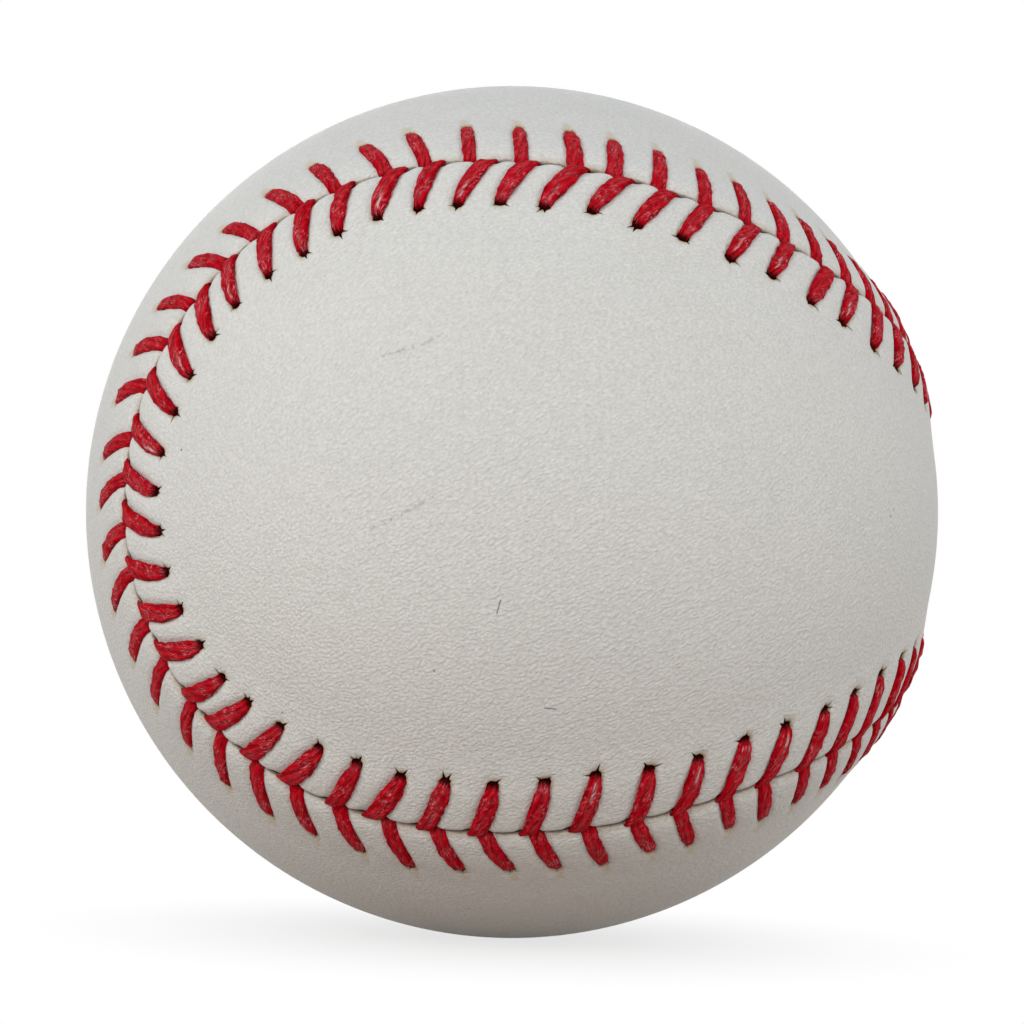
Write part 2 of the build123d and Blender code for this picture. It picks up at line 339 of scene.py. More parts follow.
class NodeMaker:
    """Adds nodes to one tree and joins their sockets."""

    def __init__(self, tree):
        self.tree = tree

    def node(self, kind, inputs=None, **settings):
        made = self.tree.nodes.new(kind)
        for name, value in settings.items():
            setattr(made, name, value)
        for name, value in (inputs or {}).items():
            self.join(self.socket(made.inputs, name), value)
        return made

    @staticmethod
    def socket(sockets, name):
        """The enabled socket of that name."""
        return next(entry for entry in sockets if entry.enabled and entry.name == name)

    def join(self, socket, value):
        """Links a socket or a node's first output, or sets a plain value."""
        if isinstance(value, bpy.types.Node):
            value = next(entry for entry in value.outputs if entry.enabled)
        if isinstance(value, bpy.types.NodeSocket):
            self.tree.links.new(value, socket)
        else:
            socket.default_value = value

    def math(self, operation, *values, clamp=False):
        made = self.node("ShaderNodeMath", operation=operation, use_clamp=clamp)
        for socket, value in zip(made.inputs, values):
            self.join(socket, value)
        return made.outputs[0]

    def plus(self, *values):
        return reduce(lambda first, second: self.math("ADD", first, second), values)

    def times(self, *values):
        return reduce(lambda first, second: self.math("MULTIPLY", first, second), values)

    def scaled(self, value, factor, added):
        return self.math("MULTIPLY_ADD", value, factor, added)

    def vector(self, operation, *values):
        made = self.node("ShaderNodeVectorMath", operation=operation)
        for socket, value in zip((entry for entry in made.inputs if entry.enabled), values):
            self.join(socket, value)
        return next(entry for entry in made.outputs if entry.enabled)

    def curve(self, value, points):
        """A smooth profile through the points, for a value from 0 to 1."""
        made = self.node("ShaderNodeFloatCurve", {"Value": value})
        line = made.mapping.curves[0]
        line.points[0].location = points[0]
        line.points[1].location = points[-1]
        for point in points[1:-1]:
            line.points.new(*point)
        made.mapping.update()
        return made.outputs[0]

    def profile(self, distance, reach, points):
        """A smooth profile over a reach."""
        return self.curve(self.math("DIVIDE", distance, reach, clamp=True), points)

    def fade(self, value, start, end, low=0.0, high=1.0):
        """A soft step between two values."""
        made = self.node(
            "ShaderNodeMapRange",
            {"Value": value, "From Min": start, "From Max": end, "To Min": low, "To Max": high},
            interpolation_type="SMOOTHSTEP",
        )
        return made.outputs[0]

    def blend(self, share, first, second, kind="MIX"):
        """Two colours mixed by a share."""
        made = self.node("ShaderNodeMix", data_type="RGBA", blend_type=kind)
        for name, value in (("Factor", share), ("A", first), ("B", second)):
            self.join(self.socket(made.inputs, name), value)
        return self.socket(made.outputs, "Result")

    def noise(self, where, scale, detail=2.0, roughness=0.5, distortion=0.0, read="Fac"):
        made = self.node("ShaderNodeTexNoise", {"Vector": where, "Scale": scale, "Detail": detail})
        made.inputs["Roughness"].default_value = roughness
        made.inputs["Distortion"].default_value = distortion
        return made.outputs[read]

    def wander(self, where, scale, reach):
        """A soft random shift, half its reach each way."""
        drift = self.vector("SUBTRACT", self.noise(where, scale, read="Color"), (0.5, 0.5, 0.5))
        return self.vector("SCALE", drift, reach)

    def cells(self, where, scale):
        """Distance to the nearest of scattered points."""
        return self.node("ShaderNodeTexVoronoi", {"Vector": where, "Scale": scale}).outputs["Distance"]

    def stored(self, name, kind="FLOAT"):
        """A value that is kept on the mesh."""
        if self.tree.bl_idname == "GeometryNodeTree":
            made = self.node("GeometryNodeInputNamedAttribute", {"Name": name}, data_type=kind)
            return made.outputs["Attribute"]
        return self.node("ShaderNodeAttribute", attribute_name=name).outputs["Fac"]

    def place(self):
        """Where a point of the surface lies in its object."""
        return self.node("ShaderNodeTexCoord").outputs["Object"]

    def seen(self):
        """Above zero for what the camera sees, straight on, in gloss or through glass."""
        path = self.node("ShaderNodeLightPath").outputs
        bent = self.math("MAXIMUM", path["Is Glossy Ray"], path["Is Transmission Ray"])
        return self.math("MAXIMUM", path["Is Camera Ray"], bent)

    def show(self, output, share, first, second):
        """Joins a mix of two shaders to the tree's output."""
        made = self.node("ShaderNodeMixShader")
        for socket, value in zip(made.inputs, (share, first, second)):
            self.join(socket, value)
        self.join(self.tree.nodes[output].inputs["Surface"], made)


def camera_turn():
    """Turns the ball's frame into the camera's."""
    yaw, pitch, roll = CAMERA_TURN
    return Matrix.Rotation(roll, 3, "Y") @ Matrix.Rotation(pitch, 3, "X") @ Matrix.Rotation(yaw, 3, "Z")


def on_ball(pixel, radius):
    """The place on the plain ball that a pixel of the photograph shows."""
    reach = PHOTO_RADIUS * sqrt(CAMERA_AWAY**2 - 1.0)
    right, down = ((p - m) / (s * reach) for p, m, s in zip(pixel, PHOTO_MIDDLE, PHOTO_STRETCH))
    ray = Vector((right, 1.0, -down))
    start = Vector((0.0, -CAMERA_AWAY, 0.0))
    half = start.dot(ray)
    root = sqrt(half**2 - ray.dot(ray) * (start.dot(start) - 1.0))
    hit = start + ray * ((-half - root) / ray.dot(ray))
    return camera_turn().transposed() @ hit * radius


def paint(rgb, factor=1.0):
    """A colour with full alpha, made darker or paler by a factor."""
    return (*(min(1.0, part * factor) for part in rgb), 1.0)


def new_group(name, kind, inputs, outputs):
    """An empty node group with named sockets, and the nodes at its two ends."""
    tree = bpy.data.node_groups.new(name, kind)
    for title, socket_kind, default in inputs:
        made = tree.interface.new_socket(name=title, in_out="INPUT", socket_type=socket_kind)
        if default is not None:
            made.default_value = default
    for title, socket_kind in outputs:
        tree.interface.new_socket(name=title, in_out="OUTPUT", socket_type=socket_kind)
    maker = NodeMaker(tree)
    return maker, maker.node("NodeGroupInput").outputs, maker.node("NodeGroupOutput").inputs


def shaping_group(name, lengths, others=()):
    """A geometry node group that takes lengths and a finish."""
    return new_group(
        name,
        "GeometryNodeTree",
        [
            ("Geometry", "NodeSocketGeometry", None),
            *((title, "NodeSocketFloat", MM) for title in lengths),
            *others,
            ("Finish", "NodeSocketMaterial", None),
        ],
        [("Geometry", "NodeSocketGeometry")],
    )


def end_tree(maker, given, result, geometry):
    """Ends a shaping group with smooth faces, a plain mesh and the finish."""
    smooth = maker.node("GeometryNodeSetShadeSmooth", {"Geometry": geometry})
    whole = maker.node("GeometryNodeRealizeInstances", {"Geometry": smooth})
    finished = maker.node("GeometryNodeSetMaterial", {"Geometry": whole, "Material": given["Finish"]})
    maker.join(result["Geometry"], finished)
    return maker.tree


def shape_by_nodes(piece, tree, values):
    """Runs a geometry tree on a piece and keeps the result as its plain mesh."""
    modifier = piece.modifiers.new(tree.name, "NODES")
    modifier.node_group = tree
    for item in tree.interface.items_tree:
        if item.item_type == "SOCKET" and item.in_out == "INPUT" and item.name in values:
            modifier[item.identifier] = values[item.name]
    depsgraph = bpy.context.evaluated_depsgraph_get()
    shaped = piece.evaluated_get(depsgraph)
    mesh = bpy.data.meshes.new_from_object(shaped, preserve_all_data_layers=True, depsgraph=depsgraph)
    piece.modifiers.remove(modifier)
    rough = piece.data
    piece.data = mesh
    bpy.data.meshes.remove(rough)
    mesh.name = piece.name


def new_object(name, mesh):
    piece = bpy.data.objects.new(name, mesh)
    bpy.context.scene.collection.objects.link(piece)
    return piece


def put_values(mesh, name, values, kind="FLOAT"):
    """Stores one value for each vertex."""
    field = "vector" if kind == "FLOAT_VECTOR" else "value"
    flat = np.asarray(values, dtype=np.float32).ravel()
    mesh.attributes.new(name, kind, "POINT").data.foreach_set(field, flat)


def sizes_for(sizes, titles):
    """The sizes that go into inputs of the same names."""
    return {title: getattr(sizes, title.lower().replace(" ", "_")) for title in titles}


# The seam and the stitches along it


def unevenness(run, length, marks):
    """A slow hand-sewn shift along the seam, smoothed, with the same run on each half of the ball."""
    places, shifts = np.array(marks, dtype=float).T * MM
    near = np.linspace(-SMOOTH_REACH, SMOOTH_REACH, SMOOTH_STEPS)
    weights = 1.0 + np.cos(near / SMOOTH_FADE * pi)
    read = [np.interp(run + step, places, shifts, period=length / 2.0) for step in near]
    return sum(weight * row for weight, row in zip(weights, read)) / weights.sum()


class Seam:
    """The closed curve on the ball where the panels meet, by distance along it and across it."""

    def __init__(self, radius, waist, samples=21600):
        self.radius = radius
        minor = (1.0 - waist / (2.0 * radius)) / 2.0
        major = 1.0 - minor
        swing = 2.0 * sqrt(major * minor)
        turn = np.linspace(0.0, tau, samples, endpoint=False)
        even = np.stack(
            (
                swing * np.cos(2.0 * turn),
                -major * np.sin(turn) - minor * np.sin(3.0 * turn),
                major * np.cos(turn) - minor * np.cos(3.0 * turn),
            ),
            axis=1,
        )
        runs, length = self.measure(even)
        angle = unevenness(runs, length, SEAM_WANDER)[:, None] / radius
        self.line = even * np.cos(angle) + np.cross(even, self.headings(even)) * np.sin(angle)
        self.runs, self.length = self.measure(self.line)
        self.ways = self.headings(self.line)

    def measure(self, line):
        """Distances along a closed line of unit vectors, and its whole length."""
        steps = np.linalg.norm(np.roll(line, -1, axis=0) - line, axis=1) * self.radius
        return np.concatenate(([0.0], np.cumsum(steps[:-1]))), steps.sum()

    @staticmethod
    def headings(line):
        way = np.roll(line, -1, axis=0) - np.roll(line, 1, axis=0)
        return way / np.linalg.norm(way, axis=1, keepdims=True)

    def read(self, rows, along):
        """Unit vectors from a list along the seam."""
        found = [np.interp(along, self.runs, row, period=self.length) for row in rows.T]
        found = np.stack(found, axis=-1)
        return found / np.linalg.norm(found, axis=-1, keepdims=True)

    def spots(self, along, across):
        """Unit vectors to points that lie across from the seam, the front panel's side counting up."""
        here = self.read(self.line, along)
        side = np.cross(here, self.read(self.ways, along))
        angle = (across / self.radius)[..., None]
        return here * np.cos(angle) + side * np.sin(angle)

    def shorter_way(self, distance):
        """A distance along the seam, by the shorter way round."""
        return (distance + self.length / 2.0) % self.length - self.length / 2.0

    def distance(self, spots, stride=15):
        """How far unit vectors lie from the seam, the front panel's side counting up."""
        here = self.line[::stride]
        side = np.cross(here, self.ways[::stride])
        nearest = np.argmax(spots @ here.T, axis=1)
        return np.arcsin(np.clip(np.sum(side[nearest] * spots, axis=1), -1.0, 1.0)) * self.radius


class Leg:
    """The visible legs of the stitches on one panel, with their small differences."""

    def __init__(self, sizes, seam, style):
        self.style = style
        self.front = style is FRONT
        self.side = style.side
        self.path = np.array(style.path)
        title = "front_" if self.front else "back_"
        self.girth = getattr(sizes, title + "girth")
        self.hole_width = getattr(sizes, title + "hole_width")
        self.reach = getattr(sizes, title + "reach")
        self.lead = getattr(sizes, title + "lead")
        self.lip_width = getattr(sizes, title + "lip_width")
        count = sizes.stitch_count
        draw = np.random.default_rng(SEED + style.number)
        even = -np.arange(count) * (seam.length / count)

        def shift(marks):
            return unevenness(even, seam.length, marks)

        ahead = shift(HOLE_STAGGER)
        drifted = even + shift(STITCH_DRIFT) + draw.normal(0.0, ALONG_SCATTER, count)
        self.along = drifted + style.stagger * ahead
        most = 2.0 * style.scatter
        differing = np.clip(draw.normal(0.0, style.scatter, count), -most, most)
        self.across = self.side * (self.reach + shift(style.length) + differing)
        pull = style.pull * (ahead - USUAL_STAGGER) / self.reach
        self.lean = pull + shift(style.foot) / self.reach + draw.normal(0.0, LEAN_SCATTER, count)
        fullness = 1.0 + shift(style.fullness) / MM
        self.stretch = np.stack(
            (
                np.clip(draw.normal(1.0, WIDTH_SCATTER, count), *WIDTH_LIMITS) * fullness,
                np.abs(self.across) / self.reach,
                np.clip(draw.normal(1.0, THICKNESS_SCATTER, count), *THICKNESS_LIMITS),
            ),
            axis=1,
        )
        self.tone = draw.random(count)

    def line(self, steps=24):
        """Points of every leg's middle along and across the seam, and its half width there."""
        share = np.linspace(0.0, 1.0, steps)[:, None]
        weights = ((1 - share) ** 3, 3 * share * (1 - share) ** 2, 3 * share**2 * (1 - share), share**3)
        flat = sum(weight * point for weight, point in zip(weights, self.path)) * (self.lead, self.reach)
        run = np.concatenate(([0.0], np.cumsum(np.linalg.norm(np.diff(flat, axis=0), axis=1))))
        half_width = np.interp(run / run[-1], *np.array(self.style.width).T) * self.girth
        flat = flat[None] * self.stretch[:, None, :2]
        turn = self.lean[:, None]
        x = flat[..., 0] * np.cos(turn) - flat[..., 1] * np.sin(turn) + self.along[:, None]
        y = flat[..., 0] * np.sin(turn) + flat[..., 1] * np.cos(turn) + self.across[:, None]
        return x, y, half_width

    def hole_rims(self):
        """The torn rim of every hole, as angles and distances from its middle."""
        draw = np.random.default_rng(RIM_SEED + self.style.number)
        return [self.torn_rim(draw) for _ in self.along]

    def torn_rim(self, draw):
        outward = pi / 2.0 * self.side
        tears = outward + np.sort(draw.uniform(-TEAR_SPREAD, TEAR_SPREAD, draw.integers(*TEAR_COUNTS)))
        lengths = draw.uniform(*TEAR_LENGTHS, len(tears)) * self.style.tears * MM
        angles = np.arange(RIM_POINTS) * tau / RIM_POINTS + draw.uniform(-RIM_JITTER, RIM_JITTER, RIM_POINTS)
        keep = [a for a in angles if all(abs((a - t + pi) % tau - pi) > TEAR_ROOM for t in tears)]
        rough = draw.normal(1.0, RIM_ROUGHNESS, RIM_DRAWS)
        rim = [(a, self.rim_radius(a) * rough[k]) for k, a in enumerate(keep)]
        last = None
        for tear, length in zip(tears, lengths):
            if last is not None and tear - last < TEARS_APART:
                continue
            last = tear
            base = self.rim_radius(tear)
            rim += [(tear - TEAR_HALF_ANGLE, base), (tear, base + length), (tear + TEAR_HALF_ANGLE, base)]
        return np.array(sorted(((a % tau), r) for a, r in rim))

    def rim_radius(self, angle):
        """The plain hole: rounder on the seam's side, longer on the far side."""
        outwards = np.sin(angle) * self.side
        stretch = 1.0 + np.where(outwards > 0.0, FAR_STRETCH, NEAR_STRETCH) * np.abs(outwards)
        return self.hole_width / 2.0 * stretch


# The leather cover


def scatter(spacing, radius):
    """Evenly scattered unit vectors over a whole ball."""
    count = int(4.0 * pi * radius**2 / (POINT_AREA * spacing**2))
    order = np.arange(count) + 0.5
    height = 1.0 - 2.0 * order / count
    turn = order * pi * (1.0 + sqrt(5.0))
    ring = np.sqrt(1.0 - height**2)
    return np.stack((height, ring * np.cos(turn), ring * np.sin(turn)), axis=1)


def flat_map(spots, side):
    """Points of the ball on a flat map that is round the panel's middle."""
    return spots[:, 1:] / (1.0 + side * spots[:, :1])


def triangulate(flat, loops):
    """Joins flat points by triangles, with the loops kept as edges."""
    edges = []
    for loop in loops:
        edges += [(int(a), int(b)) for a, b in zip(loop, np.roll(loop, -1))]
    points = [Vector(point) for point in flat]
    _, _, faces, origins, _, _ = delaunay_2d_cdt(points, edges, [], 0, SAME_POINT)
    if len(origins) != len(points):
        raise RuntimeError("a panel's outline crosses itself")
    name = np.array([entry[0] for entry in origins])
    return name[np.array(faces)]


def turn_sense(first, second, third):
    """Above zero where three flat points turn left."""
    ahead, beyond = second - first, third - first
    return ahead[..., 0] * beyond[..., 1] - ahead[..., 1] * beyond[..., 0]


class PanelSheet:
    """One face of a panel: its points, with the cut edge first, then the holes' rims."""

    def __init__(self, seam, leg, rims):
        self.seam = seam
        self.leg = leg
        self.rims = rims
        self.along = np.empty(0)
        self.across = np.empty(0)
        self.loops = []

    def add(self, along, across):
        first = len(self.along)
        self.along = np.concatenate((self.along, along))
        self.across = np.concatenate((self.across, across))
        return np.arange(first, len(self.along))

    def add_outline(self, columns, edge_gap):
        """The cut edge and the rims, which both faces of the panel share."""
        run = np.arange(columns) * self.seam.length / columns
        self.loops.append(self.add(run, np.full(columns, self.leg.side * edge_gap)))
        for x, y, rim in zip(self.leg.along, self.leg.across, self.rims):
            angle, reach = rim.T
            self.loops.append(self.add(x + reach * np.cos(angle), y + reach * np.sin(angle)))

    def add_row(self, columns, distance, shift, room):
        """A row of points beside the seam, clear of the holes."""
        run = (np.arange(columns) + shift) * self.seam.length / columns
        across = np.full(columns, self.leg.side * distance)
        keep = np.ones(columns, dtype=bool)
        for x, y, rim in zip(self.leg.along, self.leg.across, self.rims):
            dx = self.seam.shorter_way(run - x)
            dy = across - y
            reach = np.interp(np.arctan2(dy, dx) % tau, rim[:, 0], rim[:, 1], period=tau)
            keep &= np.hypot(dx, dy) > reach + room
        self.add(run[keep], across[keep])

    def faces(self, spots):
        """Triangles of the panel without its holes and without what lies past its edge."""
        flat = flat_map(spots, self.leg.side)
        found = triangulate(flat, self.loops)
        owner = np.full(len(spots), -1)
        for number, loop in enumerate(self.loops):
            owner[loop] = number
        owners = owner[found]
        same = (owners[:, 0] >= 0) & (owners[:, 0] == owners[:, 1]) & (owners[:, 1] == owners[:, 2])
        # A triangle between points of one loop lies within the loop if it turns as the loop does.
        ordered = np.sort(found, axis=1)
        sense = turn_sense(*(flat[ordered[:, k]] for k in range(3)))
        loop_sense = []
        for loop in self.loops:
            middle = flat[loop].mean(axis=0)
            loop_sense.append(turn_sense(middle, flat[loop], flat[np.roll(loop, -1)]).sum())
        within = sense * np.array(loop_sense)[owners[:, 0]] > 0.0
        drop = same & (within != (owners[:, 0] == 0))
        return found[~drop]


def outer_rows():
    """Distances of the outer face's rows from the seam, in millimetres."""
    rows = list(LIP_ROWS)
    while rows[-1] < LAST_EVEN_ROW:
        rows.append(rows[-1] + ROW_STEP)
    return (*rows, *WIDE_ROWS)


def nearest_stitches(along, leg, seam):
    """For points beside the seam, the numbers of the stitch before, the nearest and the one after."""
    pitch = seam.length / len(leg.along)
    nearest = np.round((leg.along[0] - along) / pitch).astype(int)
    return [(nearest + offset) % len(leg.along) for offset in (-1, 0, 1)]


def thread_nearness(along, across, leg, seam):
    """Distance from the nearest leg's middle in half widths, for points beside the seam."""
    x, y, half_width = leg.line()
    best = np.full(len(along), PRESS_REACH)
    for which in nearest_stitches(along, leg, seam):
        for step in range(x.shape[1]):
            dx = seam.shorter_way(along - x[which, step])
            gap = np.hypot(dx, across - y[which, step]) / (half_width[step] * leg.stretch[which, 0])
            best = np.minimum(best, gap)
    return best


def hole_nearness(along, across, leg, seam):
    """Distance from the nearest hole's plain rim, and from the slit that runs on past the hole."""
    rim_gap = np.full(len(along), FAR_FROM_HOLE)
    slit_gap = np.full(len(along), FAR_FROM_HOLE)
    heading = -leg.path[1] * (leg.lead, leg.reach)
    heading = heading / np.linalg.norm(heading)
    for which in nearest_stitches(along, leg, seam):
        dx = seam.shorter_way(along - leg.along[which])
        dy = across - leg.across[which]
        gap = np.hypot(dx, dy) - leg.rim_radius(np.arctan2(dy, dx))
        rim_gap = np.minimum(rim_gap, np.maximum(gap, 0.0))
        run = np.clip(dx * heading[0] + dy * heading[1], 0.0, leg.style.slit)
        gap = np.hypot(dx - run * heading[0], dy - run * heading[1]) + SLIT_TAPER * run
        slit_gap = np.minimum(slit_gap, gap)
    return rim_gap, slit_gap


def closed_mesh(name, places, faces):
    """A mesh without gaps whose faces point outwards."""
    mesh = bpy.data.meshes.new(name)
    mesh.from_pydata(places.tolist(), [], faces)
    shell = bmesh.new()
    shell.from_mesh(mesh)
    loose = [vertex for vertex in shell.verts if not vertex.link_faces]
    if loose or any(len(edge.link_faces) != 2 for edge in shell.edges):
        raise RuntimeError(f"{name} isn't closed")
    bmesh.ops.recalc_face_normals(shell, faces=shell.faces)
    shell.faces.ensure_lookup_table()
    if shell.faces[0].normal.dot(shell.faces[0].calc_center_median()) < 0.0:
        bmesh.ops.reverse_faces(shell, faces=shell.faces)
    shell.to_mesh(mesh)
    shell.free()
    return mesh


def panel_mesh(name, seam, leg, sizes):
    """A closed leather panel on the plain ball, with the values that its relief and finish read."""
    columns = sizes.stitch_count * COLUMNS_EACH_STITCH
    rims = leg.hole_rims()
    outer = PanelSheet(seam, leg, rims)
    outer.add_outline(columns, sizes.edge_gap)
    for number, distance in enumerate(outer_rows()):
        outer.add_row(columns, distance * MM, 0.5 * (number % 2 == 0), HOLE_ROOM * MM)
    inner = PanelSheet(seam, leg, rims)
    inner.add_outline(columns, sizes.edge_gap)
    for share, distance, room in INNER_ROWS:
        inner.add_row(sizes.stitch_count * share, distance * MM, 0.5, room * MM)

    spots, triangles, gaps = [], [], []
    for sheet, (spacing, start) in ((outer, OUTER_FIELD), (inner, INNER_FIELD)):
        field = scatter(spacing, seam.radius)
        distance = seam.distance(field) * leg.side
        field, distance = field[distance > start], distance[distance > start]
        points = np.concatenate((seam.spots(sheet.along, sheet.across), field))
        spots.append(points)
        gaps.append(np.concatenate((np.abs(sheet.across), distance)))
        triangles.append(sheet.faces(points))

    split = len(spots[0])
    walls = []
    for loop in outer.loops:
        after = np.roll(loop, -1)
        walls.append(np.stack((loop, after, after + split, loop + split), axis=1))
    depth = np.repeat((0.0, 1.0), (split, len(spots[1])))
    places = np.concatenate(spots) * (seam.radius - depth * sizes.leather_thickness)[:, None]
    faces = triangles[0].tolist() + (triangles[1] + split).tolist() + np.concatenate(walls).tolist()
    mesh = closed_mesh(name, places, faces)

    outer_band = slice(0, len(outer.along))
    inner_band = slice(split, split + len(inner.along))
    near_thread = np.full(len(places), PRESS_REACH)
    near_hole = np.full(len(places), FAR_FROM_HOLE)
    near_slit = np.full(len(places), FAR_FROM_HOLE)
    near_thread[outer_band] = thread_nearness(outer.along, outer.across, leg, seam)
    near_hole[outer_band], near_slit[outer_band] = hole_nearness(outer.along, outer.across, leg, seam)
    near_hole[inner_band], _ = hole_nearness(inner.along, inner.across, leg, seam)
    put_values(mesh, "edge_gap", np.concatenate(gaps))
    put_values(mesh, "thread_gap", near_thread)
    put_values(mesh, "hole_gap", near_hole)
    put_values(mesh, "slit_gap", near_slit)
    put_values(mesh, "rawness", np.full(len(places), leg.style.rawness))
    put_values(mesh, "depth", depth)
    return mesh


def welt_rise(maker, given, distance):
    """The cover's rise at a distance from the seam."""
    return maker.times(maker.profile(distance, given["Welt Width"], WELT_PROFILE), given["Welt Height"])


def cover_relief_tree():
    """Geometry nodes that raise the welt, roll the lip, press the stitches in and dip the holes."""
    maker, given, result = shaping_group("Cover relief", (*COVER_SIZES, "Lip Width"))
    edge_gap = maker.stored("edge_gap")
    rise = welt_rise(maker, given, edge_gap)
    lip = maker.times(maker.profile(edge_gap, given["Lip Width"], LIP_PROFILE), given["Lip Drop"])
    pressed = maker.profile(maker.stored("thread_gap"), PRESS_REACH, PRESS_PROFILE)
    sewn = maker.profile(edge_gap, given["Sewn Width"], SEWN_PROFILE)
    pressed = maker.times(maker.math("SUBTRACT", pressed, PRESS_SINK), sewn, given["Press Depth"])
    dimple = maker.profile(maker.stored("hole_gap"), given["Dimple Width"], DIMPLE_PROFILE)
    dimple = maker.times(dimple, given["Dimple Depth"])
    lift = maker.math("SUBTRACT", maker.plus(rise, pressed), maker.plus(lip, dimple))
    lift = maker.times(lift, maker.math("SUBTRACT", 1.0, maker.stored("depth")))
    outwards = maker.vector("NORMALIZE", maker.node("GeometryNodeInputPosition"))
    offset = maker.vector("SCALE", outwards, lift)
    moved = maker.node("GeometryNodeSetPosition", {"Geometry": given["Geometry"], "Offset": offset})
    return end_tree(maker, given, result, moved)


# The lacing


def leg_template(maker, given, style):
    """One leg of a stitch as a flattened, tapered tube from its hole to the seam, on a flat sheet."""
    title = "Front" if style is FRONT else "Back"
    span = maker.node("ShaderNodeCombineXYZ", {"X": given[title + " Lead"], "Y": given[title + " Reach"]})
    ends = ("Start", "Start Handle", "End Handle", "End")
    corners = {end: maker.vector("MULTIPLY", span, (*point, 0.0)) for end, point in zip(ends, style.path)}
    corners["Resolution"] = BEND_STEPS
    bend = maker.node("GeometryNodeCurvePrimitiveBezierSegment", corners, mode="POSITION")
    line = maker.node("GeometryNodeResampleCurve", {"Curve": bend, "Count": given["Rings"]}, mode="COUNT")
    upright = maker.node("GeometryNodeSetCurveNormal", {"Curve": line}, mode="Z_UP")
    keep = maker.node("GeometryNodeCaptureAttribute", {"Geometry": upright})
    keep.capture_items.new("FLOAT", "Share")
    keep.capture_items.new("VECTOR", "Middle")
    keep.capture_items.new("VECTOR", "Heading")
    maker.join(keep.inputs["Share"], maker.node("GeometryNodeSplineParameter").outputs["Factor"])
    maker.join(keep.inputs["Middle"], maker.node("GeometryNodeInputPosition"))
    maker.join(keep.inputs["Heading"], maker.node("GeometryNodeInputTangent"))
    share = keep.outputs["Share"]
    middle = keep.outputs["Middle"]
    width = maker.times(maker.curve(share, style.width), given[title + " Girth"])
    ring = maker.node(
        "GeometryNodeCurvePrimitiveCircle", {"Resolution": given["Sides"], "Radius": 1.0}, mode="RADIUS"
    )
    tube = maker.node(
        "GeometryNodeCurveToMesh",
        {
            "Curve": keep.outputs["Geometry"],
            "Profile Curve": ring.outputs["Curve"],
            "Scale": width,
            "Fill Caps": True,
        },
    )
    offset = maker.vector("SUBTRACT", maker.node("GeometryNodeInputPosition"), middle)
    sideways = maker.vector("CROSS_PRODUCT", (0.0, 0.0, 1.0), keep.outputs["Heading"])
    across = maker.math("DIVIDE", maker.vector("DOT_PRODUCT", offset, sideways), width)
    upwards = maker.node("ShaderNodeSeparateXYZ", {"Vector": offset}).outputs["Z"]
    upwards = maker.times(maker.math("DIVIDE", upwards, width), FLATTENING)
    upwards = maker.math("MAXIMUM", maker.math("MINIMUM", upwards, 1.0), -1.0)
    thin = maker.math("MINIMUM", maker.times(given["Thread Thickness"], 0.5), maker.times(width, THICKEST))
    climb = maker.plus(given["Thread Rise"], given["Thread Dive"])
    height = maker.scaled(maker.curve(share, style.height), climb, maker.times(given["Thread Dive"], -1.0))
    level = maker.scaled(upwards, thin, height)
    slant = maker.curve(share, style.slant)
    sidestep = maker.vector(
        "ADD",
        maker.vector("SCALE", sideways, maker.math("SUBTRACT", 1.0, slant)),
        maker.vector("SCALE", (style.side, 0.0, 0.0), slant),
    )
    spot = maker.vector("ADD", middle, maker.vector("SCALE", sidestep, maker.times(across, width)))
    flat = maker.vector("ADD", spot, maker.node("ShaderNodeCombineXYZ", {"Z": level}))
    pressed = tube
    for name, value in (("across", across), ("share", share)):
        pressed = maker.node(
            "GeometryNodeStoreNamedAttribute",
            {"Geometry": pressed, "Name": name, "Value": value},
            data_type="FLOAT",
            domain="POINT",
        )
    return maker.node("GeometryNodeSetPosition", {"Geometry": pressed, "Position": flat})


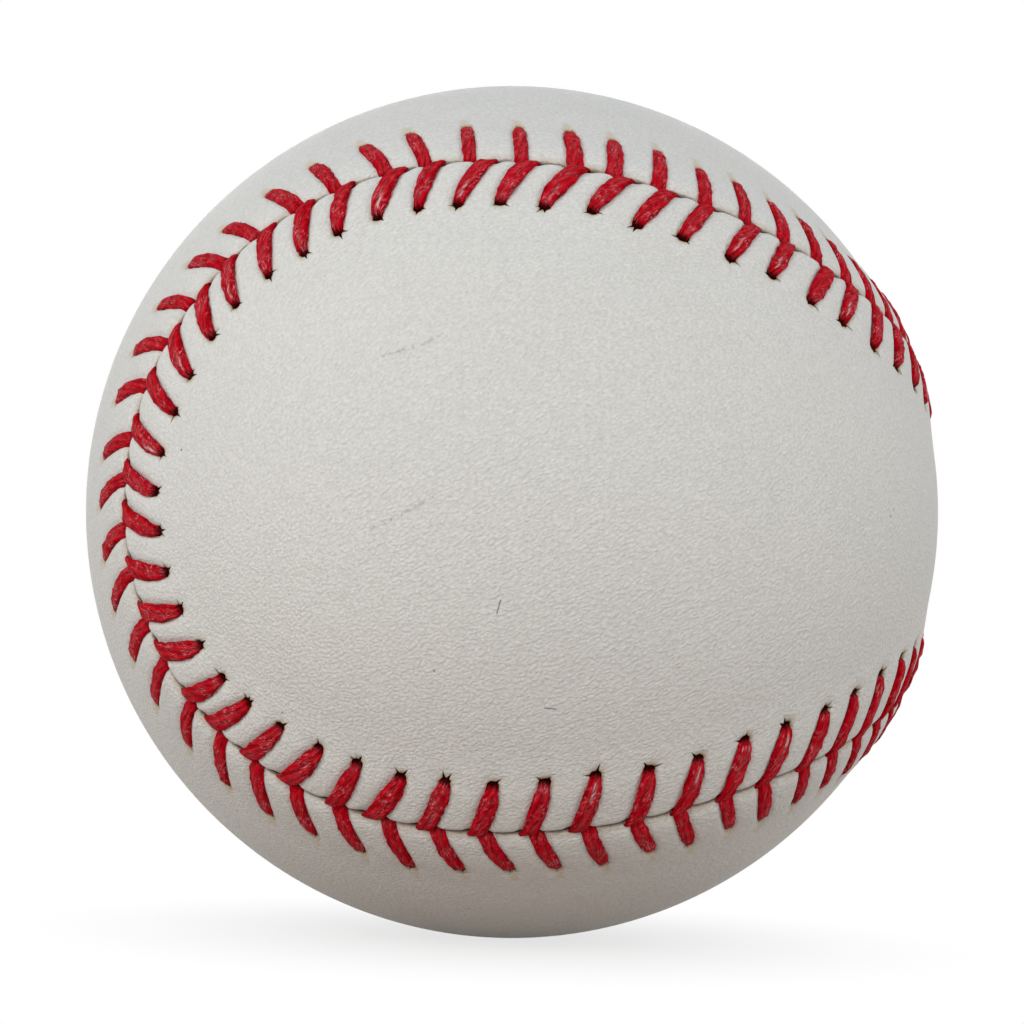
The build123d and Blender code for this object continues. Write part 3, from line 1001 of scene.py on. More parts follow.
def lacing_tree():
    """Geometry nodes that set a leg at every hole of a flat strip and wrap the strip along the seam."""
    maker, given, result = shaping_group(
        "Lacing",
        (*LACING_SIZES, "Seam Length", "Looseness"),
        (
            ("Seam", "NodeSocketObject", None),
            ("Rings", "NodeSocketInt", LEG_RINGS),
            ("Sides", "NodeSocketInt", LEG_SIDES),
        ),
    )
    strip = maker.node("GeometryNodeJoinGeometry")
    for style, test in ((FRONT, "GREATER_THAN"), (BACK, "LESS_THAN")):
        chosen = maker.node(
            "FunctionNodeCompare", {"A": maker.stored("front"), "B": 0.5}, data_type="FLOAT", operation=test
        )
        set_out = maker.node(
            "GeometryNodeInstanceOnPoints",
            {
                "Points": given["Geometry"],
                "Selection": chosen,
                "Instance": leg_template(maker, given, style),
                "Rotation": maker.node("ShaderNodeCombineXYZ", {"Z": maker.stored("lean")}),
                "Scale": maker.stored("stretch", "FLOAT_VECTOR"),
            },
        )
        maker.join(strip.inputs[0], set_out)
    whole = maker.node("GeometryNodeRealizeInstances", {"Geometry": strip})

    guide = maker.node("GeometryNodeObjectInfo", {"Object": given["Seam"]}, transform_space="ORIGINAL")
    line = maker.node("GeometryNodeMeshToCurve", {"Mesh": guide.outputs["Geometry"]})
    place = maker.node("ShaderNodeSeparateXYZ", {"Vector": maker.node("GeometryNodeInputPosition")}).outputs
    run = maker.math("FLOORED_MODULO", place["X"], given["Seam Length"])
    sample = maker.node(
        "GeometryNodeSampleCurve", {"Curves": line, "Length": run}, mode="LENGTH", use_all_curves=True
    )
    here = maker.vector("NORMALIZE", sample.outputs["Position"])
    side = maker.vector("NORMALIZE", maker.vector("CROSS_PRODUCT", here, sample.outputs["Tangent"]))
    angle = maker.math("DIVIDE", place["Y"], given["Ball Radius"])
    spot = maker.vector(
        "ADD",
        maker.vector("SCALE", here, maker.math("COSINE", angle)),
        maker.vector("SCALE", side, maker.math("SINE", angle)),
    )
    rise = welt_rise(maker, given, maker.math("ABSOLUTE", place["Y"]))
    spot = maker.vector("SCALE", spot, maker.plus(given["Ball Radius"], rise, place["Z"]))
    wrapped = maker.node("GeometryNodeSetPosition", {"Geometry": whole, "Position": spot})
    shift = maker.wander(maker.node("GeometryNodeInputPosition"), given["Looseness"], given["Loose Shift"])
    uneven = maker.node("GeometryNodeSetPosition", {"Geometry": wrapped, "Offset": shift})
    return end_tree(maker, given, result, uneven)


def stitch_points(name, legs, first):
    """The holes that one half of the lacing comes up through, on a flat strip."""
    rows = [(legs[(number + first) % 2], number) for number in range(len(legs[0].along))]
    mesh = bpy.data.meshes.new(name)
    mesh.from_pydata([(leg.along[k], leg.across[k], 0.0) for leg, k in rows], [], [])
    put_values(mesh, "front", [float(leg.front) for leg, _ in rows])
    put_values(mesh, "lean", [leg.lean[k] for leg, k in rows])
    put_values(mesh, "tone", [leg.tone[k] for leg, k in rows])
    put_values(mesh, "stretch", [leg.stretch[k] for leg, k in rows], "FLOAT_VECTOR")
    return mesh


def seam_guide(seam):
    """The seam as a closed line of edges, for the lacing to follow."""
    points = seam.line[::GUIDE_STRIDE] * seam.radius
    ends = np.arange(len(points))
    mesh = bpy.data.meshes.new("seam_guide")
    mesh.from_pydata(points.tolist(), np.stack((ends, np.roll(ends, -1)), axis=1).tolist(), [])
    return new_object("seam_guide", mesh)


# Finishes. Scales are in repeats per metre. A band gives where a soft step starts and ends, and then what it
# goes from and to where that isn't 0 to 1.


# Pits and mottling: a pit's edge, a grain whose scale is a share of the pits' scale, and their heights.
PIT_EDGE = (0.08, 0.42)
PIT_HEIGHT = 0.6
SPECKLE_SCALE = 0.6
SPECKLE_HEIGHT = 0.6
SPECKLE_ROUGHNESS = 0.2


def speckle_group():
    """Fine pits and soft mottling, for cork, rubber and adhesive."""
    maker, given, result = new_group(
        "Speckle",
        "ShaderNodeTree",
        [
            ("Vector", "NodeSocketVector", None),
            ("Pits", "NodeSocketFloat", 3000.0),
            ("Mottle", "NodeSocketFloat", 200.0),
        ],
        [("Shade", "NodeSocketFloat"), ("Height", "NodeSocketFloat")],
    )
    pits = maker.fade(maker.cells(given["Vector"], given["Pits"]), *PIT_EDGE)
    mottle = maker.noise(given["Vector"], given["Mottle"], detail=4.0, roughness=0.55)
    scale = maker.times(given["Pits"], SPECKLE_SCALE)
    grain = maker.noise(given["Vector"], scale, detail=3.0, roughness=0.6)
    height = maker.plus(maker.times(pits, PIT_HEIGHT), maker.times(grain, SPECKLE_HEIGHT))
    maker.join(result["Height"], height)
    maker.join(result["Shade"], maker.times(maker.plus(mottle, pits), 0.5))
    return maker.tree


def mark_group():
    """A short straight mark between two points."""
    maker, given, result = new_group(
        "Mark",
        "ShaderNodeTree",
        [
            ("Vector", "NodeSocketVector", None),
            ("From", "NodeSocketVector", None),
            ("To", "NodeSocketVector", None),
            ("Width", "NodeSocketFloat", 0.5 * MM),
        ],
        [("Mask", "NodeSocketFloat")],
    )
    span = maker.vector("SUBTRACT", given["To"], given["From"])
    away = maker.vector("SUBTRACT", given["Vector"], given["From"])
    along = maker.vector("DOT_PRODUCT", away, span)
    share = maker.math("DIVIDE", along, maker.vector("DOT_PRODUCT", span, span), clamp=True)
    gap = maker.vector("LENGTH", maker.vector("SUBTRACT", away, maker.vector("SCALE", span, share)))
    maker.join(result["Mask"], maker.fade(maker.math("DIVIDE", gap, given["Width"]), 1.0, 0.0))
    return maker.tree


# Wound yarn: each set of strands has a turn and a waver. Patches show the first set or the second, and the
# third lies lower under both.
STRANDS = (((0.4, 0.2, 0.0), 0.4), ((1.3, 0.7, 0.5), 0.6), ((2.2, 0.1, 1.1), 0.8))
STRAND_BEND = 4.0
PATCHES_TO_STRANDS = 0.25
PATCH_EDGE = (0.45, 0.55)
THIRD_HEIGHT = 0.5
WOOL_FUZZ_SCALE = 4000.0
WOOL_FUZZ_SHARE = 0.3
WOOL_STRAND_SHARE = 0.7
# How dark the lower strands are painted, as shade.
WOOL_PAINTED_SHADE = 0.45
WOOL_ROUGHNESS = (0.15, 0.8)


def yarn_group():
    """Wound yarn: fine crossing strands round the ball."""
    maker, given, result = new_group(
        "Wound yarn",
        "ShaderNodeTree",
        [("Vector", "NodeSocketVector", None), ("Scale", "NodeSocketFloat", 300.0)],
        [("Shade", "NodeSocketFloat"), ("Height", "NodeSocketFloat")],
    )
    waves = []
    for turn, waver in STRANDS:
        turned = maker.node("ShaderNodeMapping", {"Vector": given["Vector"], "Rotation": turn})
        inputs = {"Vector": turned, "Scale": given["Scale"], "Detail": 2.0, "Detail Scale": waver}
        inputs["Distortion"] = STRAND_BEND
        waves.append(maker.node("ShaderNodeTexWave", inputs, wave_type="BANDS").outputs["Fac"])
    patch = maker.noise(given["Vector"], maker.times(given["Scale"], PATCHES_TO_STRANDS))
    first = maker.times(waves[0], maker.fade(patch, *reversed(PATCH_EDGE)))
    second = maker.times(waves[1], maker.fade(patch, *PATCH_EDGE))
    both = maker.math("MAXIMUM", maker.plus(first, second), maker.times(waves[2], THIRD_HEIGHT))
    maker.join(result["Height"], both)
    maker.join(result["Shade"], both)
    return maker.tree


def new_material(name):
    """A material with nodes, its maker and its shader."""
    material = bpy.data.materials.new(name)
    material.use_nodes = True
    maker = NodeMaker(material.node_tree)
    return material, maker, material.node_tree.nodes["Principled BSDF"]


def use_group(maker, tree, inputs):
    made = maker.tree.nodes.new("ShaderNodeGroup")
    made.node_tree = tree
    for name, value in inputs.items():
        maker.join(made.inputs[name], value)
    return made.outputs


def bumped(maker, shader, height, distance, under=None):
    """A bump for the shader, in metres of relief, over another one."""
    made = maker.node("ShaderNodeBump", {"Height": height, "Distance": distance, "Strength": 1.0})
    if under is not None:
        maker.join(made.inputs["Normal"], under)
    maker.join(shader.inputs["Normal"], made)
    return made.outputs["Normal"]


# The leather's grain rises to the right on the photographed side, and is drawn out that way.
GRAIN_SLOPE = -0.55
GRAIN_STRETCH = (1.6, 1.0, 1.0)
GRAIN_SCALE = 5200.0
GRAIN_RELIEF = 0.038 * MM
GRAIN_SHARE = 0.7
PEBBLE_SCALE = 4000.0
PEBBLE_BAND = (0.8, 0.2)
PEBBLE_BEND_SCALE = 1300.0
PEBBLE_BEND = 0.35 * MM
CREASE_SCALE = 900.0
CREASE_RELIEF = 0.05 * MM
CLOUD_SCALE = 55.0
STAIN_SCALE = 38.0
STAIN_BAND = (0.56, 0.74, 0.0, 0.16)
STAIN_TONES = (0.93, 0.90, 0.83)
SPECK_SCALE = 180.0
SPECK_BAND = (0.024, 0.012, 0.0, 0.75)
# How much each pattern changes the leather's tone, and the tone that it starts from.
GRAIN_TINT = (0.5, 0.778)
PEBBLE_TINT = (0.06, 0.95)
CLOUD_TINT = 0.05
CREASE_TINT = 0.08
# Raw leather: fuzzy fibres at the cut edge, the holes and the slits, by distance from them.
FUZZ_SCALE = 2400.0
FUZZ_RELIEF = 0.2 * MM
EDGE_FUZZ = 0.25 * MM
HOLE_FUZZ = 0.55 * MM
SLIT_FUZZ = 0.3 * MM
SMUDGE_SCALE = 500.0
SMUDGE_BAND = (0.38, 0.6, 0.15, 0.5)
SMUDGE_EDGE = (0.95 * MM, 0.35 * MM)
FRAYED_BAND = (0.58 * MM, 0.24 * MM, 0.0, 0.8)
TORN_BAND = (1.0 * MM, 0.4 * MM, 0.0, 0.8)
# A painted shade line along the seam, and how dark it is.
SEAM_SHADE_BAND = (0.45 * MM, 0.22 * MM, 0.0, 0.75)
SEAM_SHADE_TONE = 1.6
RAW_TONES = (0.7, 1.35)
RAW_DEPTH = (0.005, 0.06)
# Painted shade on the cut walls, deepening inwards, and where it turns from the seam's brown to the holes'
# near black.
PAINTED_SHADE_DEPTH = (0.0, 0.16)
SEAM_TO_HOLE = (1.5 * MM, 2.5 * MM)
LEATHER_ROUGHNESS = (0.2, 0.45)
RAW_ROUGHNESS = 0.3
LEATHER_SPECULAR = 0.2
# Scuffs and stray hairs, as pixels of the photograph: start, end, half width in millimetres, strength.
BROKEN_SCALE = 2600.0
BROKEN_BAND = (0.42, 0.58)
UPPER_SCUFF = ((382.0, 357.0), (412.0, 348.0), 0.24, 0.75)
UPPER_SCUFF_END = ((421.0, 346.0), (441.0, 335.0), 0.22, 0.5)
LOWER_SCUFF = ((371.0, 528.0), (400.0, 515.0), 0.24, 0.8)
LOWER_SCUFF_END = ((400.0, 515.0), (436.0, 495.0), 0.22, 0.6)
UPPER_HAIR = ((500.5, 599.5), (496.5, 613.0), 0.1, 0.75)
LOWER_HAIR = ((545.0, 707.3), (556.0, 708.1), 0.1, 0.8)
SCUFFS = (UPPER_SCUFF, UPPER_SCUFF_END, LOWER_SCUFF, LOWER_SCUFF_END)
HAIRS = (UPPER_HAIR, LOWER_HAIR)


def leather_material(colours, mark, radius):
    """Smooth off-white leather with fine grain, faint creases, stains and raw tan edges, with painted shade
    along the seam and on the walls of the seam and holes.
    """
    material, maker, shader = new_material("cover_leather")
    where = maker.place()
    drawn = maker.node(
        "ShaderNodeMapping",
        {"Vector": where, "Rotation": (0.0, GRAIN_SLOPE, 0.0), "Scale": GRAIN_STRETCH},
        vector_type="TEXTURE",
    )
    grain = maker.noise(drawn, GRAIN_SCALE, roughness=0.55)
    bend = maker.wander(where, PEBBLE_BEND_SCALE, PEBBLE_BEND)
    pebbles = maker.fade(maker.cells(maker.vector("ADD", drawn, bend), PEBBLE_SCALE), *PEBBLE_BAND)
    crease = maker.noise(drawn, CREASE_SCALE, detail=3.0, roughness=0.55, distortion=0.5)
    cloud = maker.noise(where, CLOUD_SCALE, detail=3.0)
    tint = maker.scaled(grain, *GRAIN_TINT)
    for share, layer in ((CLOUD_TINT, cloud), (CREASE_TINT, crease)):
        tint = maker.plus(tint, maker.scaled(layer, share, -share / 2.0))
    tint = maker.times(tint, maker.scaled(pebbles, *PEBBLE_TINT))
    plain = maker.blend(1.0, paint(colours.leather), tint, "MULTIPLY")
    stain = maker.fade(maker.noise(where, STAIN_SCALE, detail=5.0, roughness=0.6), *STAIN_BAND)
    stained = [part * share for part, share in zip(colours.leather, STAIN_TONES)]
    plain = maker.blend(stain, plain, paint(stained))
    plain = maker.blend(maker.fade(maker.cells(where, SPECK_SCALE), *SPECK_BAND), plain, paint(colours.speck))
    broken = maker.fade(maker.noise(where, BROKEN_SCALE, detail=3.0, roughness=0.6), *BROKEN_BAND)
    for marks, cover, tone in ((SCUFFS, broken, colours.leather_mark), (HAIRS, 1.0, colours.hair)):
        for start, end, width, strength in marks:
            ends = {"From": on_ball(start, radius), "To": on_ball(end, radius)}
            mask = use_group(maker, mark, {"Vector": where, "Width": width * MM, **ends})["Mask"]
            plain = maker.blend(maker.times(mask, cover, strength), plain, paint(tone))

    fuzz = maker.noise(where, FUZZ_SCALE, detail=4.0, roughness=0.65)
    depth = maker.stored("depth")
    edge_gap = maker.scaled(fuzz, EDGE_FUZZ, maker.stored("edge_gap"))
    hole_gap = maker.scaled(fuzz, HOLE_FUZZ, maker.stored("hole_gap"))
    slit_gap = maker.scaled(fuzz, SLIT_FUZZ, maker.stored("slit_gap"))
    smudge = maker.fade(maker.noise(where, SMUDGE_SCALE), *SMUDGE_BAND)
    raw_edge = maker.times(maker.fade(edge_gap, *SMUDGE_EDGE), smudge, maker.stored("rawness"))
    frayed = maker.fade(hole_gap, *FRAYED_BAND)
    plain = maker.blend(maker.fade(slit_gap, *TORN_BAND), plain, paint(colours.leather_torn))
    raw = maker.math("MAXIMUM", maker.math("MAXIMUM", raw_edge, frayed), maker.fade(depth, *RAW_DEPTH))
    raw_tone = maker.blend(fuzz, *(paint(colours.leather_raw, tone) for tone in RAW_TONES))
    toned = maker.blend(raw, plain, raw_tone)
    # A painted shade line along the seam.
    line = maker.fade(edge_gap, *SEAM_SHADE_BAND)
    toned = maker.blend(line, toned, paint(colours.painted_seam_shade, SEAM_SHADE_TONE))
    # Painted shade on the cut walls, deepening inwards: brown in the seam, near black in the holes.
    inside = maker.fade(edge_gap, *SEAM_TO_HOLE)
    shade = maker.blend(inside, paint(colours.painted_seam_shade), paint(colours.painted_hole_shade))
    toned = maker.blend(maker.fade(depth, *PAINTED_SHADE_DEPTH), toned, shade)
    maker.join(shader.inputs["Base Color"], toned)
    rough = maker.scaled(grain, *LEATHER_ROUGHNESS)
    rough = maker.math("ADD", rough, maker.times(raw, RAW_ROUGHNESS), clamp=True)
    maker.join(shader.inputs["Roughness"], rough)
    shader.inputs["Specular IOR Level"].default_value = LEATHER_SPECULAR
    fine = bumped(maker, shader, maker.scaled(grain, GRAIN_SHARE, pebbles), GRAIN_RELIEF)
    creased = bumped(maker, shader, crease, CREASE_RELIEF, fine)
    bumped(maker, shader, maker.times(fuzz, raw), FUZZ_RELIEF, creased)
    return material


# The thread's twist, in radians: along a leg, across its half width, by its waver and from leg to leg.
TWIST_ALONG = 9.0
TWIST_ACROSS = 7.0
TWIST_WAVER = 9.0
TWIST_DIFFERENCE = 20.0
WAVER_SCALE = 700.0
# Streaks lie along a leg, in patterns over its own length and width.
STREAK_SLANT = 2.2
STREAK_LENGTH = 1.6
STREAK_DIFFERENCE = 40.0
STREAK_SCALE = 4.5
FIBRE_SCALE = 5200.0
# Shares of twist, streaks and fibres in the thread's relief.
STRAND_SHARE = 0.3
STREAK_SHARE = 0.75
FIBRE_SHARE = 0.35
THREAD_RELIEF = 0.3 * MM
LIT_BAND = (0.42, 0.9)
DULL_SHARE = 0.3
DULL_TONE = 0.72
# Wax and painted highlight: in streaks, in patches, more towards the hole, and as a broad painted highlight
# along the middle.
WAX_SCALE = 9.0
WAX_BAND = (0.5, 0.69)
WAX_PATCH_SCALE = 900.0
WAX_PATCH_BAND = (0.42, 0.62)
WAX_ALONG = (0.9, 0.35, 0.35, 0.85)
HAZE_SCALE = 3.0
HAZE_ACROSS = (0.85, 0.2)
HAZE_BAND = (0.42, 0.7, 0.0, 0.12)
# Painted white glints near the hole of some front legs.
GLINT_OFFSET = (0.8, -0.4)
GLINT_ACROSS = (0.28, 0.06)
GLINT_START = (0.07, 0.14)
GLINT_END = (0.45, 0.24)
GLINT_STREAK = (0.42, 0.58, 0.1, 0.9)
GLINT_CHOICE = 7.3
GLINT_CHOSEN = (0.58, 0.75)
# Painted shade on the sides, on the end that goes into the seam, and on the end that sinks into the hole.
SIDE_SHADE_BAND = (0.75, 1.0, 0.0, 0.4)
TUCKED_FUZZ = 0.1
TUCKED_SHADE_BAND = (0.97, 1.05, 0.0, 0.6)
SUNK_FUZZ = 0.08
SUNK_SHADE_BAND = (0.12, 0.065, 0.0, 0.96)
SUNK_SHADE_TONE = 0.08
THREAD_ROUGHNESS = (0.3, 0.4)
THREAD_SPECULAR = 0.03


def thread_material(colours):
    """Waxed red thread: twisted strands, fibres and a little waxing that is partly painted highlight, with
    painted shade between the strands, on the sides and at both ends, and painted white glints.
    """
    material, maker, shader = new_material("waxed_thread")
    where = maker.place()
    share, across, tone = (maker.stored(name) for name in ("share", "across", "tone"))
    from_middle = maker.math("ABSOLUTE", across)
    waver = maker.noise(where, WAVER_SCALE, detail=3.0, roughness=0.6)
    twist = maker.plus(
        maker.times(share, TWIST_ALONG),
        maker.times(across, TWIST_ACROSS),
        maker.times(waver, TWIST_WAVER),
        maker.times(tone, TWIST_DIFFERENCE),
    )
    strand = maker.scaled(maker.math("SINE", twist), 0.5, 0.5)
    lengthwise = maker.node(
        "ShaderNodeCombineXYZ",
        {
            "X": maker.scaled(share, STREAK_SLANT, across),
            "Y": maker.times(share, STREAK_LENGTH),
            "Z": maker.times(tone, STREAK_DIFFERENCE),
        },
    )
    scales = (STREAK_SCALE, WAX_SCALE, HAZE_SCALE)
    streak, wax, middle_highlight = (maker.noise(lengthwise, scale, detail=3.0, roughness=0.6) for scale in scales)
    fibre = maker.noise(where, FIBRE_SCALE, detail=3.0, roughness=0.65)
    ply = maker.plus(
        maker.times(strand, STRAND_SHARE), maker.times(streak, STREAK_SHARE), maker.times(fibre, FIBRE_SHARE)
    )
    red = maker.blend(maker.fade(ply, *LIT_BAND), paint(colours.thread_shade), paint(colours.thread))
    red = maker.blend(maker.times(tone, DULL_SHARE), red, paint(colours.thread, DULL_TONE))
    # Waxy streaks and patches, partly real and partly painted highlight, and a painted highlight along the
    # middle of each leg.
    patch = maker.fade(maker.noise(where, WAX_PATCH_SCALE), *WAX_PATCH_BAND)
    wax_and_highlight_mask = maker.times(maker.fade(wax, *WAX_BAND), patch, maker.fade(share, *WAX_ALONG))
    middle_highlight = maker.times(maker.fade(from_middle, *HAZE_ACROSS), maker.fade(middle_highlight, *HAZE_BAND))
    red = maker.blend(maker.math("MAXIMUM", wax_and_highlight_mask, middle_highlight), red, paint(colours.wax))
    # Painted white glints near the holes of some front legs.
    offset = maker.math("SUBTRACT", across, maker.scaled(tone, *GLINT_OFFSET))
    glint = maker.times(
        maker.fade(maker.math("ABSOLUTE", offset), *GLINT_ACROSS),
        maker.fade(share, *GLINT_START),
        maker.fade(share, *GLINT_END),
        maker.fade(maker.math("FRACT", maker.times(tone, GLINT_CHOICE)), *GLINT_CHOSEN),
        maker.fade(streak, *GLINT_STREAK),
        maker.stored("front"),
    )
    red = maker.blend(glint, red, paint(colours.wax_white))
    # Painted shade on the sides of each leg and at both its ends.
    side = maker.fade(from_middle, *SIDE_SHADE_BAND)
    tucked_shade = maker.fade(maker.scaled(fibre, TUCKED_FUZZ, share), *TUCKED_SHADE_BAND)
    red = maker.blend(maker.math("MAXIMUM", side, tucked_shade), red, paint(colours.thread_shade))
    sunk_shade = maker.fade(maker.scaled(fibre, SUNK_FUZZ, share), *SUNK_SHADE_BAND)
    red = maker.blend(sunk_shade, red, paint(colours.thread_shade, SUNK_SHADE_TONE))
    maker.join(shader.inputs["Base Color"], red)
    maker.join(shader.inputs["Roughness"], maker.scaled(fibre, *THREAD_ROUGHNESS))
    shader.inputs["Specular IOR Level"].default_value = THREAD_SPECULAR
    bumped(maker, shader, ply, THREAD_RELIEF)
    return material


class Speckled(NamedTuple):
    """A plain finish broken up by pits and mottling."""

    name: str
    # The flecks' colour, as a factor of the base colour.
    flecks: float
    pits: float
    mottle: float
    relief: float
    roughness: float

    def material(self, colours, speckle):
        made, maker, shader = new_material(self.name)
        base = getattr(colours, self.name)
        inputs = {"Vector": maker.place(), "Pits": self.pits, "Mottle": self.mottle}
        grain = use_group(maker, speckle, inputs)
        toned = maker.blend(grain["Shade"], paint(base, self.flecks), paint(base))
        maker.join(shader.inputs["Base Color"], toned)
        rough = maker.scaled(grain["Shade"], SPECKLE_ROUGHNESS, self.roughness)
        maker.join(shader.inputs["Roughness"], rough)
        bumped(maker, shader, grain["Height"], self.relief)
        return made


class Wound(NamedTuple):
    """A winding of yarn."""

    name: str
    scale: float
    relief: float

    def material(self, colours, yarn):
        made, maker, shader = new_material(self.name)
        base = getattr(colours, self.name)
        where = maker.place()
        strands = use_group(maker, yarn, {"Vector": where, "Scale": self.scale})
        fuzz = maker.noise(where, WOOL_FUZZ_SCALE, detail=3.0, roughness=0.65)
        shade = maker.scaled(fuzz, WOOL_FUZZ_SHARE, maker.times(strands["Shade"], WOOL_STRAND_SHARE))
        # The yarn is darker where its strands lie lower, which is painted shade, and flecked by fuzz.
        maker.join(shader.inputs["Base Color"], maker.blend(shade, paint(base, WOOL_PAINTED_SHADE), paint(base)))
        maker.join(shader.inputs["Roughness"], maker.scaled(fuzz, *WOOL_ROUGHNESS))
        bumped(maker, shader, strands["Height"], self.relief)
        return made


SPECKLED = (
    Speckled("cork", flecks=0.35, pits=900.0, mottle=500.0, relief=0.2 * MM, roughness=0.7),
    Speckled("black_rubber", flecks=2.2, pits=2500.0, mottle=150.0, relief=0.03 * MM, roughness=0.5),
    Speckled("red_rubber", flecks=0.6, pits=2500.0, mottle=150.0, relief=0.03 * MM, roughness=0.5),
    Speckled("adhesive", flecks=0.6, pits=1500.0, mottle=90.0, relief=0.05 * MM, roughness=0.35),
)
WOUND = (
    Wound("grey_wool", scale=160.0, relief=0.5 * MM),
    Wound("white_wool", scale=200.0, relief=0.4 * MM),
    Wound("finishing_yarn", scale=420.0, relief=0.2 * MM),
)
LAYER_FINISHES = {
    "cork_core": "cork",
    "black_rubber_upper": "black_rubber",
    "black_rubber_lower": "black_rubber",
    "centre_gasket": "red_rubber",
    "red_rubber_layer": "red_rubber",
    "grey_wool_winding": "grey_wool",
    "white_wool_winding": "white_wool",
    "outer_grey_wool_winding": "grey_wool",
    "finishing_yarn_winding": "finishing_yarn",
    "adhesive_coat": "adhesive",
}

# The studio. Each lamp has a name, a place, a width and a power.
LAMPS = (
    ("key", (-0.33, -1.0, 0.12), 1.1, 9.4),
    ("left", (-1.0, -0.12, 0.28), 0.9, 3.7),
    ("right", (1.0, -0.3, 0.2), 0.9, 4.0),
    ("back", (0.15, 1.0, 0.15), 0.6, 3.0),
)
SKY_STRENGTH = 0.45
FLOOR_CORNERS = ((-6.0, -6.0), (6.0, -6.0), (6.0, 6.0), (-6.0, 6.0))
FLOOR_ROUGHNESS = 0.9
# The floor shows white except near the ball's foot, where its shadow stays.
SHADOW_BAND = (0.008, 0.044, 0.74, 1.0)
WHITE = (1.0, 1.0, 1.0, 1.0)


# Operators


def ball_seam(sizes):
    return Seam(sizes.ball_radius, sizes.waist_width)


def both_legs(sizes, seam):
    return Leg(sizes, seam, FRONT), Leg(sizes, seam, BACK)


class BASEBALL_OT_leather_cover(Operator):
    """Make the two leather panels with their welt, holes and raw edges"""

    bl_idname = "baseball.leather_cover"
    bl_label = "Leather cover"

    def execute(self, context):
        sizes = context.scene.baseball_sizes
        seam = ball_seam(sizes)
        values = sizes_for(sizes, COVER_SIZES)
        values["Finish"] = leather_material(context.scene.baseball_colours, mark_group(), sizes.ball_radius)
        tree = cover_relief_tree()
        names = (("front_cover", "front_panel"), ("back_cover", "back_panel"))
        for leg, (name, node) in zip(both_legs(sizes, seam), names):
            piece = new_object(name, panel_mesh(name, seam, leg, sizes))
            values["Lip Width"] = leg.lip_width
            shape_by_nodes(piece, tree, values)
            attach(piece, "root")
            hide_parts(node)
        return {"FINISHED"}


class BASEBALL_OT_lacing(Operator):
    """Sew both halves of the red lacing along the seam"""

    bl_idname = "baseball.lacing"
    bl_label = "Lacing"

    def execute(self, context):
        sizes = context.scene.baseball_sizes
        seam = ball_seam(sizes)
        legs = both_legs(sizes, seam)
        guide = seam_guide(seam)
        guide_mesh = guide.data
        tree = lacing_tree()
        values = sizes_for(sizes, LACING_SIZES)
        values["Seam"] = guide
        values["Seam Length"] = float(seam.length)
        values["Looseness"] = LOOSE_SCALE
        values["Finish"] = thread_material(context.scene.baseball_colours)
        for first, name, node in ((0, "first_thread", "first_lacing"), (1, "second_thread", "second_lacing")):
            piece = new_object(name, stitch_points(name, legs, first))
            shape_by_nodes(piece, tree, values)
            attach(piece, "root")
            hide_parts(node)
        bpy.data.objects.remove(guide)
        bpy.data.meshes.remove(guide_mesh)
        return {"FINISHED"}


class BASEBALL_OT_inner_layers(Operator):
    """Give the layers inside the cover their finishes"""

    bl_idname = "baseball.inner_layers"
    bl_label = "Inner layers"

    def execute(self, context):
        colours = context.scene.baseball_colours
        finishes = {}
        for group, kinds in ((speckle_group(), SPECKLED), (yarn_group(), WOUND)):
            for kind in kinds:
                finishes[kind.name] = kind.material(colours, group)
        for node, finish in LAYER_FINISHES.items():
            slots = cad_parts[node].data.materials
            slots.clear()
            slots.append(finishes[finish])
        return {"FINISHED"}


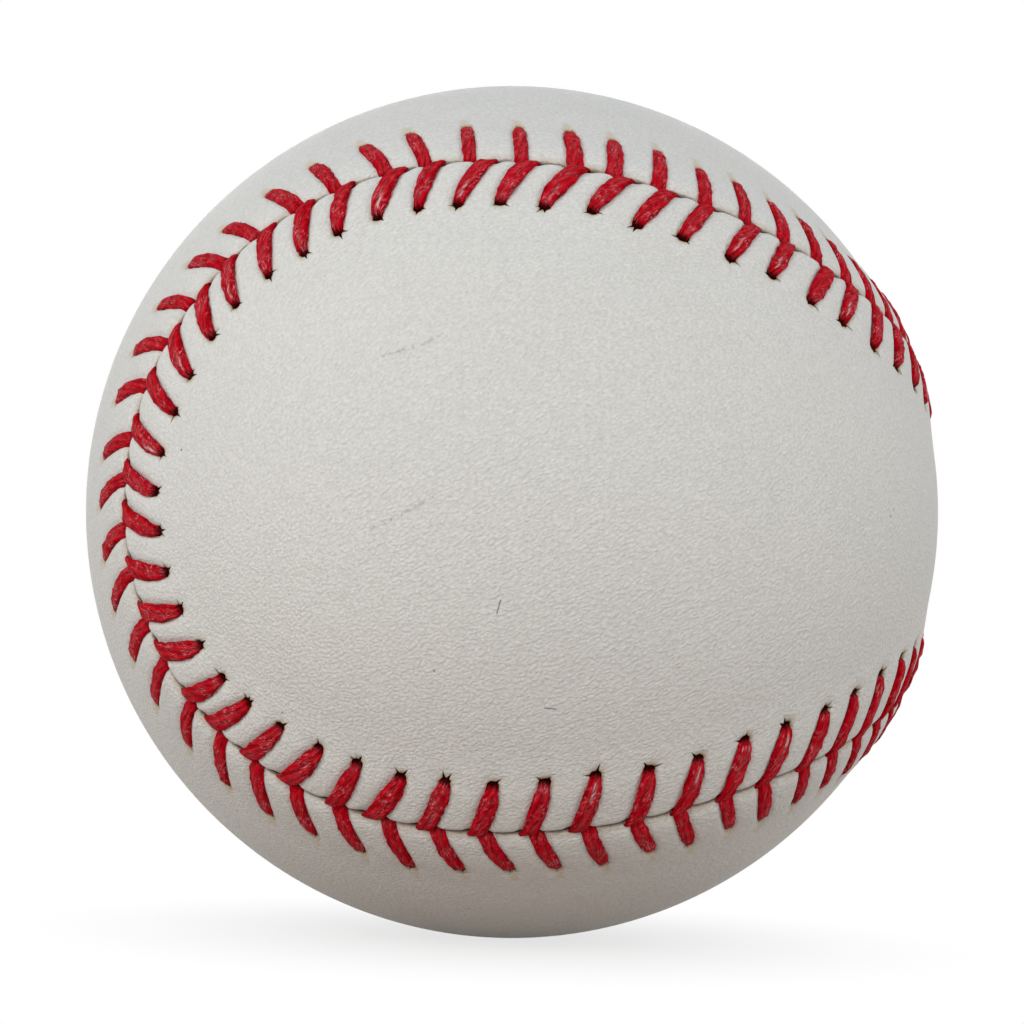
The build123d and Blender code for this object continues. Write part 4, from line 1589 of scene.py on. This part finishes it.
class BASEBALL_OT_studio(Operator):
    """Set up the pale floor, the soft light and the camera"""

    bl_idname = "baseball.studio"
    bl_label = "Studio"

    def execute(self, context):
        scene = context.scene
        scene.view_settings.view_transform = "Standard"
        radius = scene.baseball_sizes.ball_radius
        self.make_floor(scene.baseball_colours, radius)
        self.make_world(scene)
        for lamp in LAMPS:
            self.make_lamp(scene.baseball_colours.lamp, *lamp)
        self.make_camera(scene, radius)
        return {"FINISHED"}

    @staticmethod
    def make_floor(colours, radius):
        """A pale floor that shows white but keeps the ball's shadow."""
        mesh = bpy.data.meshes.new("floor")
        mesh.from_pydata([(x, y, -radius) for x, y in FLOOR_CORNERS], [], [(0, 1, 2, 3)])
        floor = new_object("floor", mesh)
        material, maker, shader = new_material("pale_floor")
        shader.inputs["Roughness"].default_value = FLOOR_ROUGHNESS
        shader.inputs["Specular IOR Level"].default_value = 0.0
        direct = maker.node("ShaderNodeLightPath").outputs["Is Camera Ray"]
        toned = maker.blend(direct, paint(colours.floor_bounce), paint(colours.floor))
        maker.join(shader.inputs["Base Color"], toned)
        away = maker.vector("LENGTH", maker.vector("MULTIPLY", maker.place(), (1.0, 1.0, 0.0)))
        glow = maker.node("ShaderNodeEmission", {"Color": WHITE, "Strength": 1.0})
        plain = maker.times(maker.seen(), maker.fade(away, *SHADOW_BAND))
        maker.show("Material Output", plain, shader, glow)
        mesh.materials.append(material)

    @staticmethod
    def make_world(scene):
        """White for the camera, soft light from all round for the rest."""
        world = bpy.data.worlds.new("studio")
        scene.world = world
        world.use_nodes = True
        maker = NodeMaker(world.node_tree)
        sky = world.node_tree.nodes["Background"]
        sky.inputs["Color"].default_value = paint(scene.baseball_colours.sky)
        sky.inputs["Strength"].default_value = SKY_STRENGTH
        white = maker.node("ShaderNodeBackground", {"Color": WHITE, "Strength": 1.0})
        maker.show("World Output", maker.seen(), sky, white)

    @staticmethod
    def make_lamp(tone, name, place, width, power):
        """A soft lamp aimed at the ball."""
        light = bpy.data.lights.new(name, "AREA")
        light.shape = "SQUARE"
        light.size = width
        light.energy = power
        light.color = tone
        lamp = new_object(name, light)
        lamp.location = place
        lamp.rotation_euler = Vector(place).to_track_quat("Z", "Y").to_euler()

    @staticmethod
    def make_camera(scene, radius):
        """The photograph's viewpoint: close in front, a little below the ball's middle."""
        lens = bpy.data.cameras.new("camera")
        lens.sensor_width = SENSOR_WIDTH
        lens.lens = FOCAL_LENGTH
        lens.clip_start = CLIP_START
        camera = new_object("camera", lens)
        back = camera_turn().transposed()
        right, up, behind = (back @ Vector(way) for way in ((1, 0, 0), (0, 0, 1), (0, -1, 0)))
        camera.matrix_world = Matrix((right, up, behind)).transposed().to_4x4()
        camera.location = behind * CAMERA_AWAY * radius
        scene.camera = camera


class BASEBALL_PT_parts(Panel):
    """Lists the pieces and their sizes"""

    bl_idname = "BASEBALL_PT_parts"
    bl_label = "Baseball"
    bl_space_type = "VIEW_3D"
    bl_region_type = "UI"
    bl_category = "Baseball"

    def draw(self, context):
        for step in STEPS:
            self.layout.operator(step.bl_idname)
        for group in (context.scene.baseball_sizes, context.scene.baseball_colours):
            column = self.layout.column(align=True)
            for name in type(group).__annotations__:
                column.prop(group, name)


STEPS = (BASEBALL_OT_inner_layers, BASEBALL_OT_leather_cover, BASEBALL_OT_lacing, BASEBALL_OT_studio)
CLASSES = (BaseballSizes, BaseballColours, *STEPS, BASEBALL_PT_parts)


def register():
    for entry in CLASSES:
        bpy.utils.register_class(entry)
    bpy.types.Scene.baseball_sizes = PointerProperty(type=BaseballSizes)
    bpy.types.Scene.baseball_colours = PointerProperty(type=BaseballColours)


def unregister():
    del bpy.types.Scene.baseball_colours
    del bpy.types.Scene.baseball_sizes
    for entry in reversed(CLASSES):
        bpy.utils.unregister_class(entry)


def main():
    register()
    bpy.ops.baseball.inner_layers()
    bpy.ops.baseball.leather_cover()
    bpy.ops.baseball.lacing()
    bpy.ops.baseball.studio()


if __name__ == "__main__":
    main()
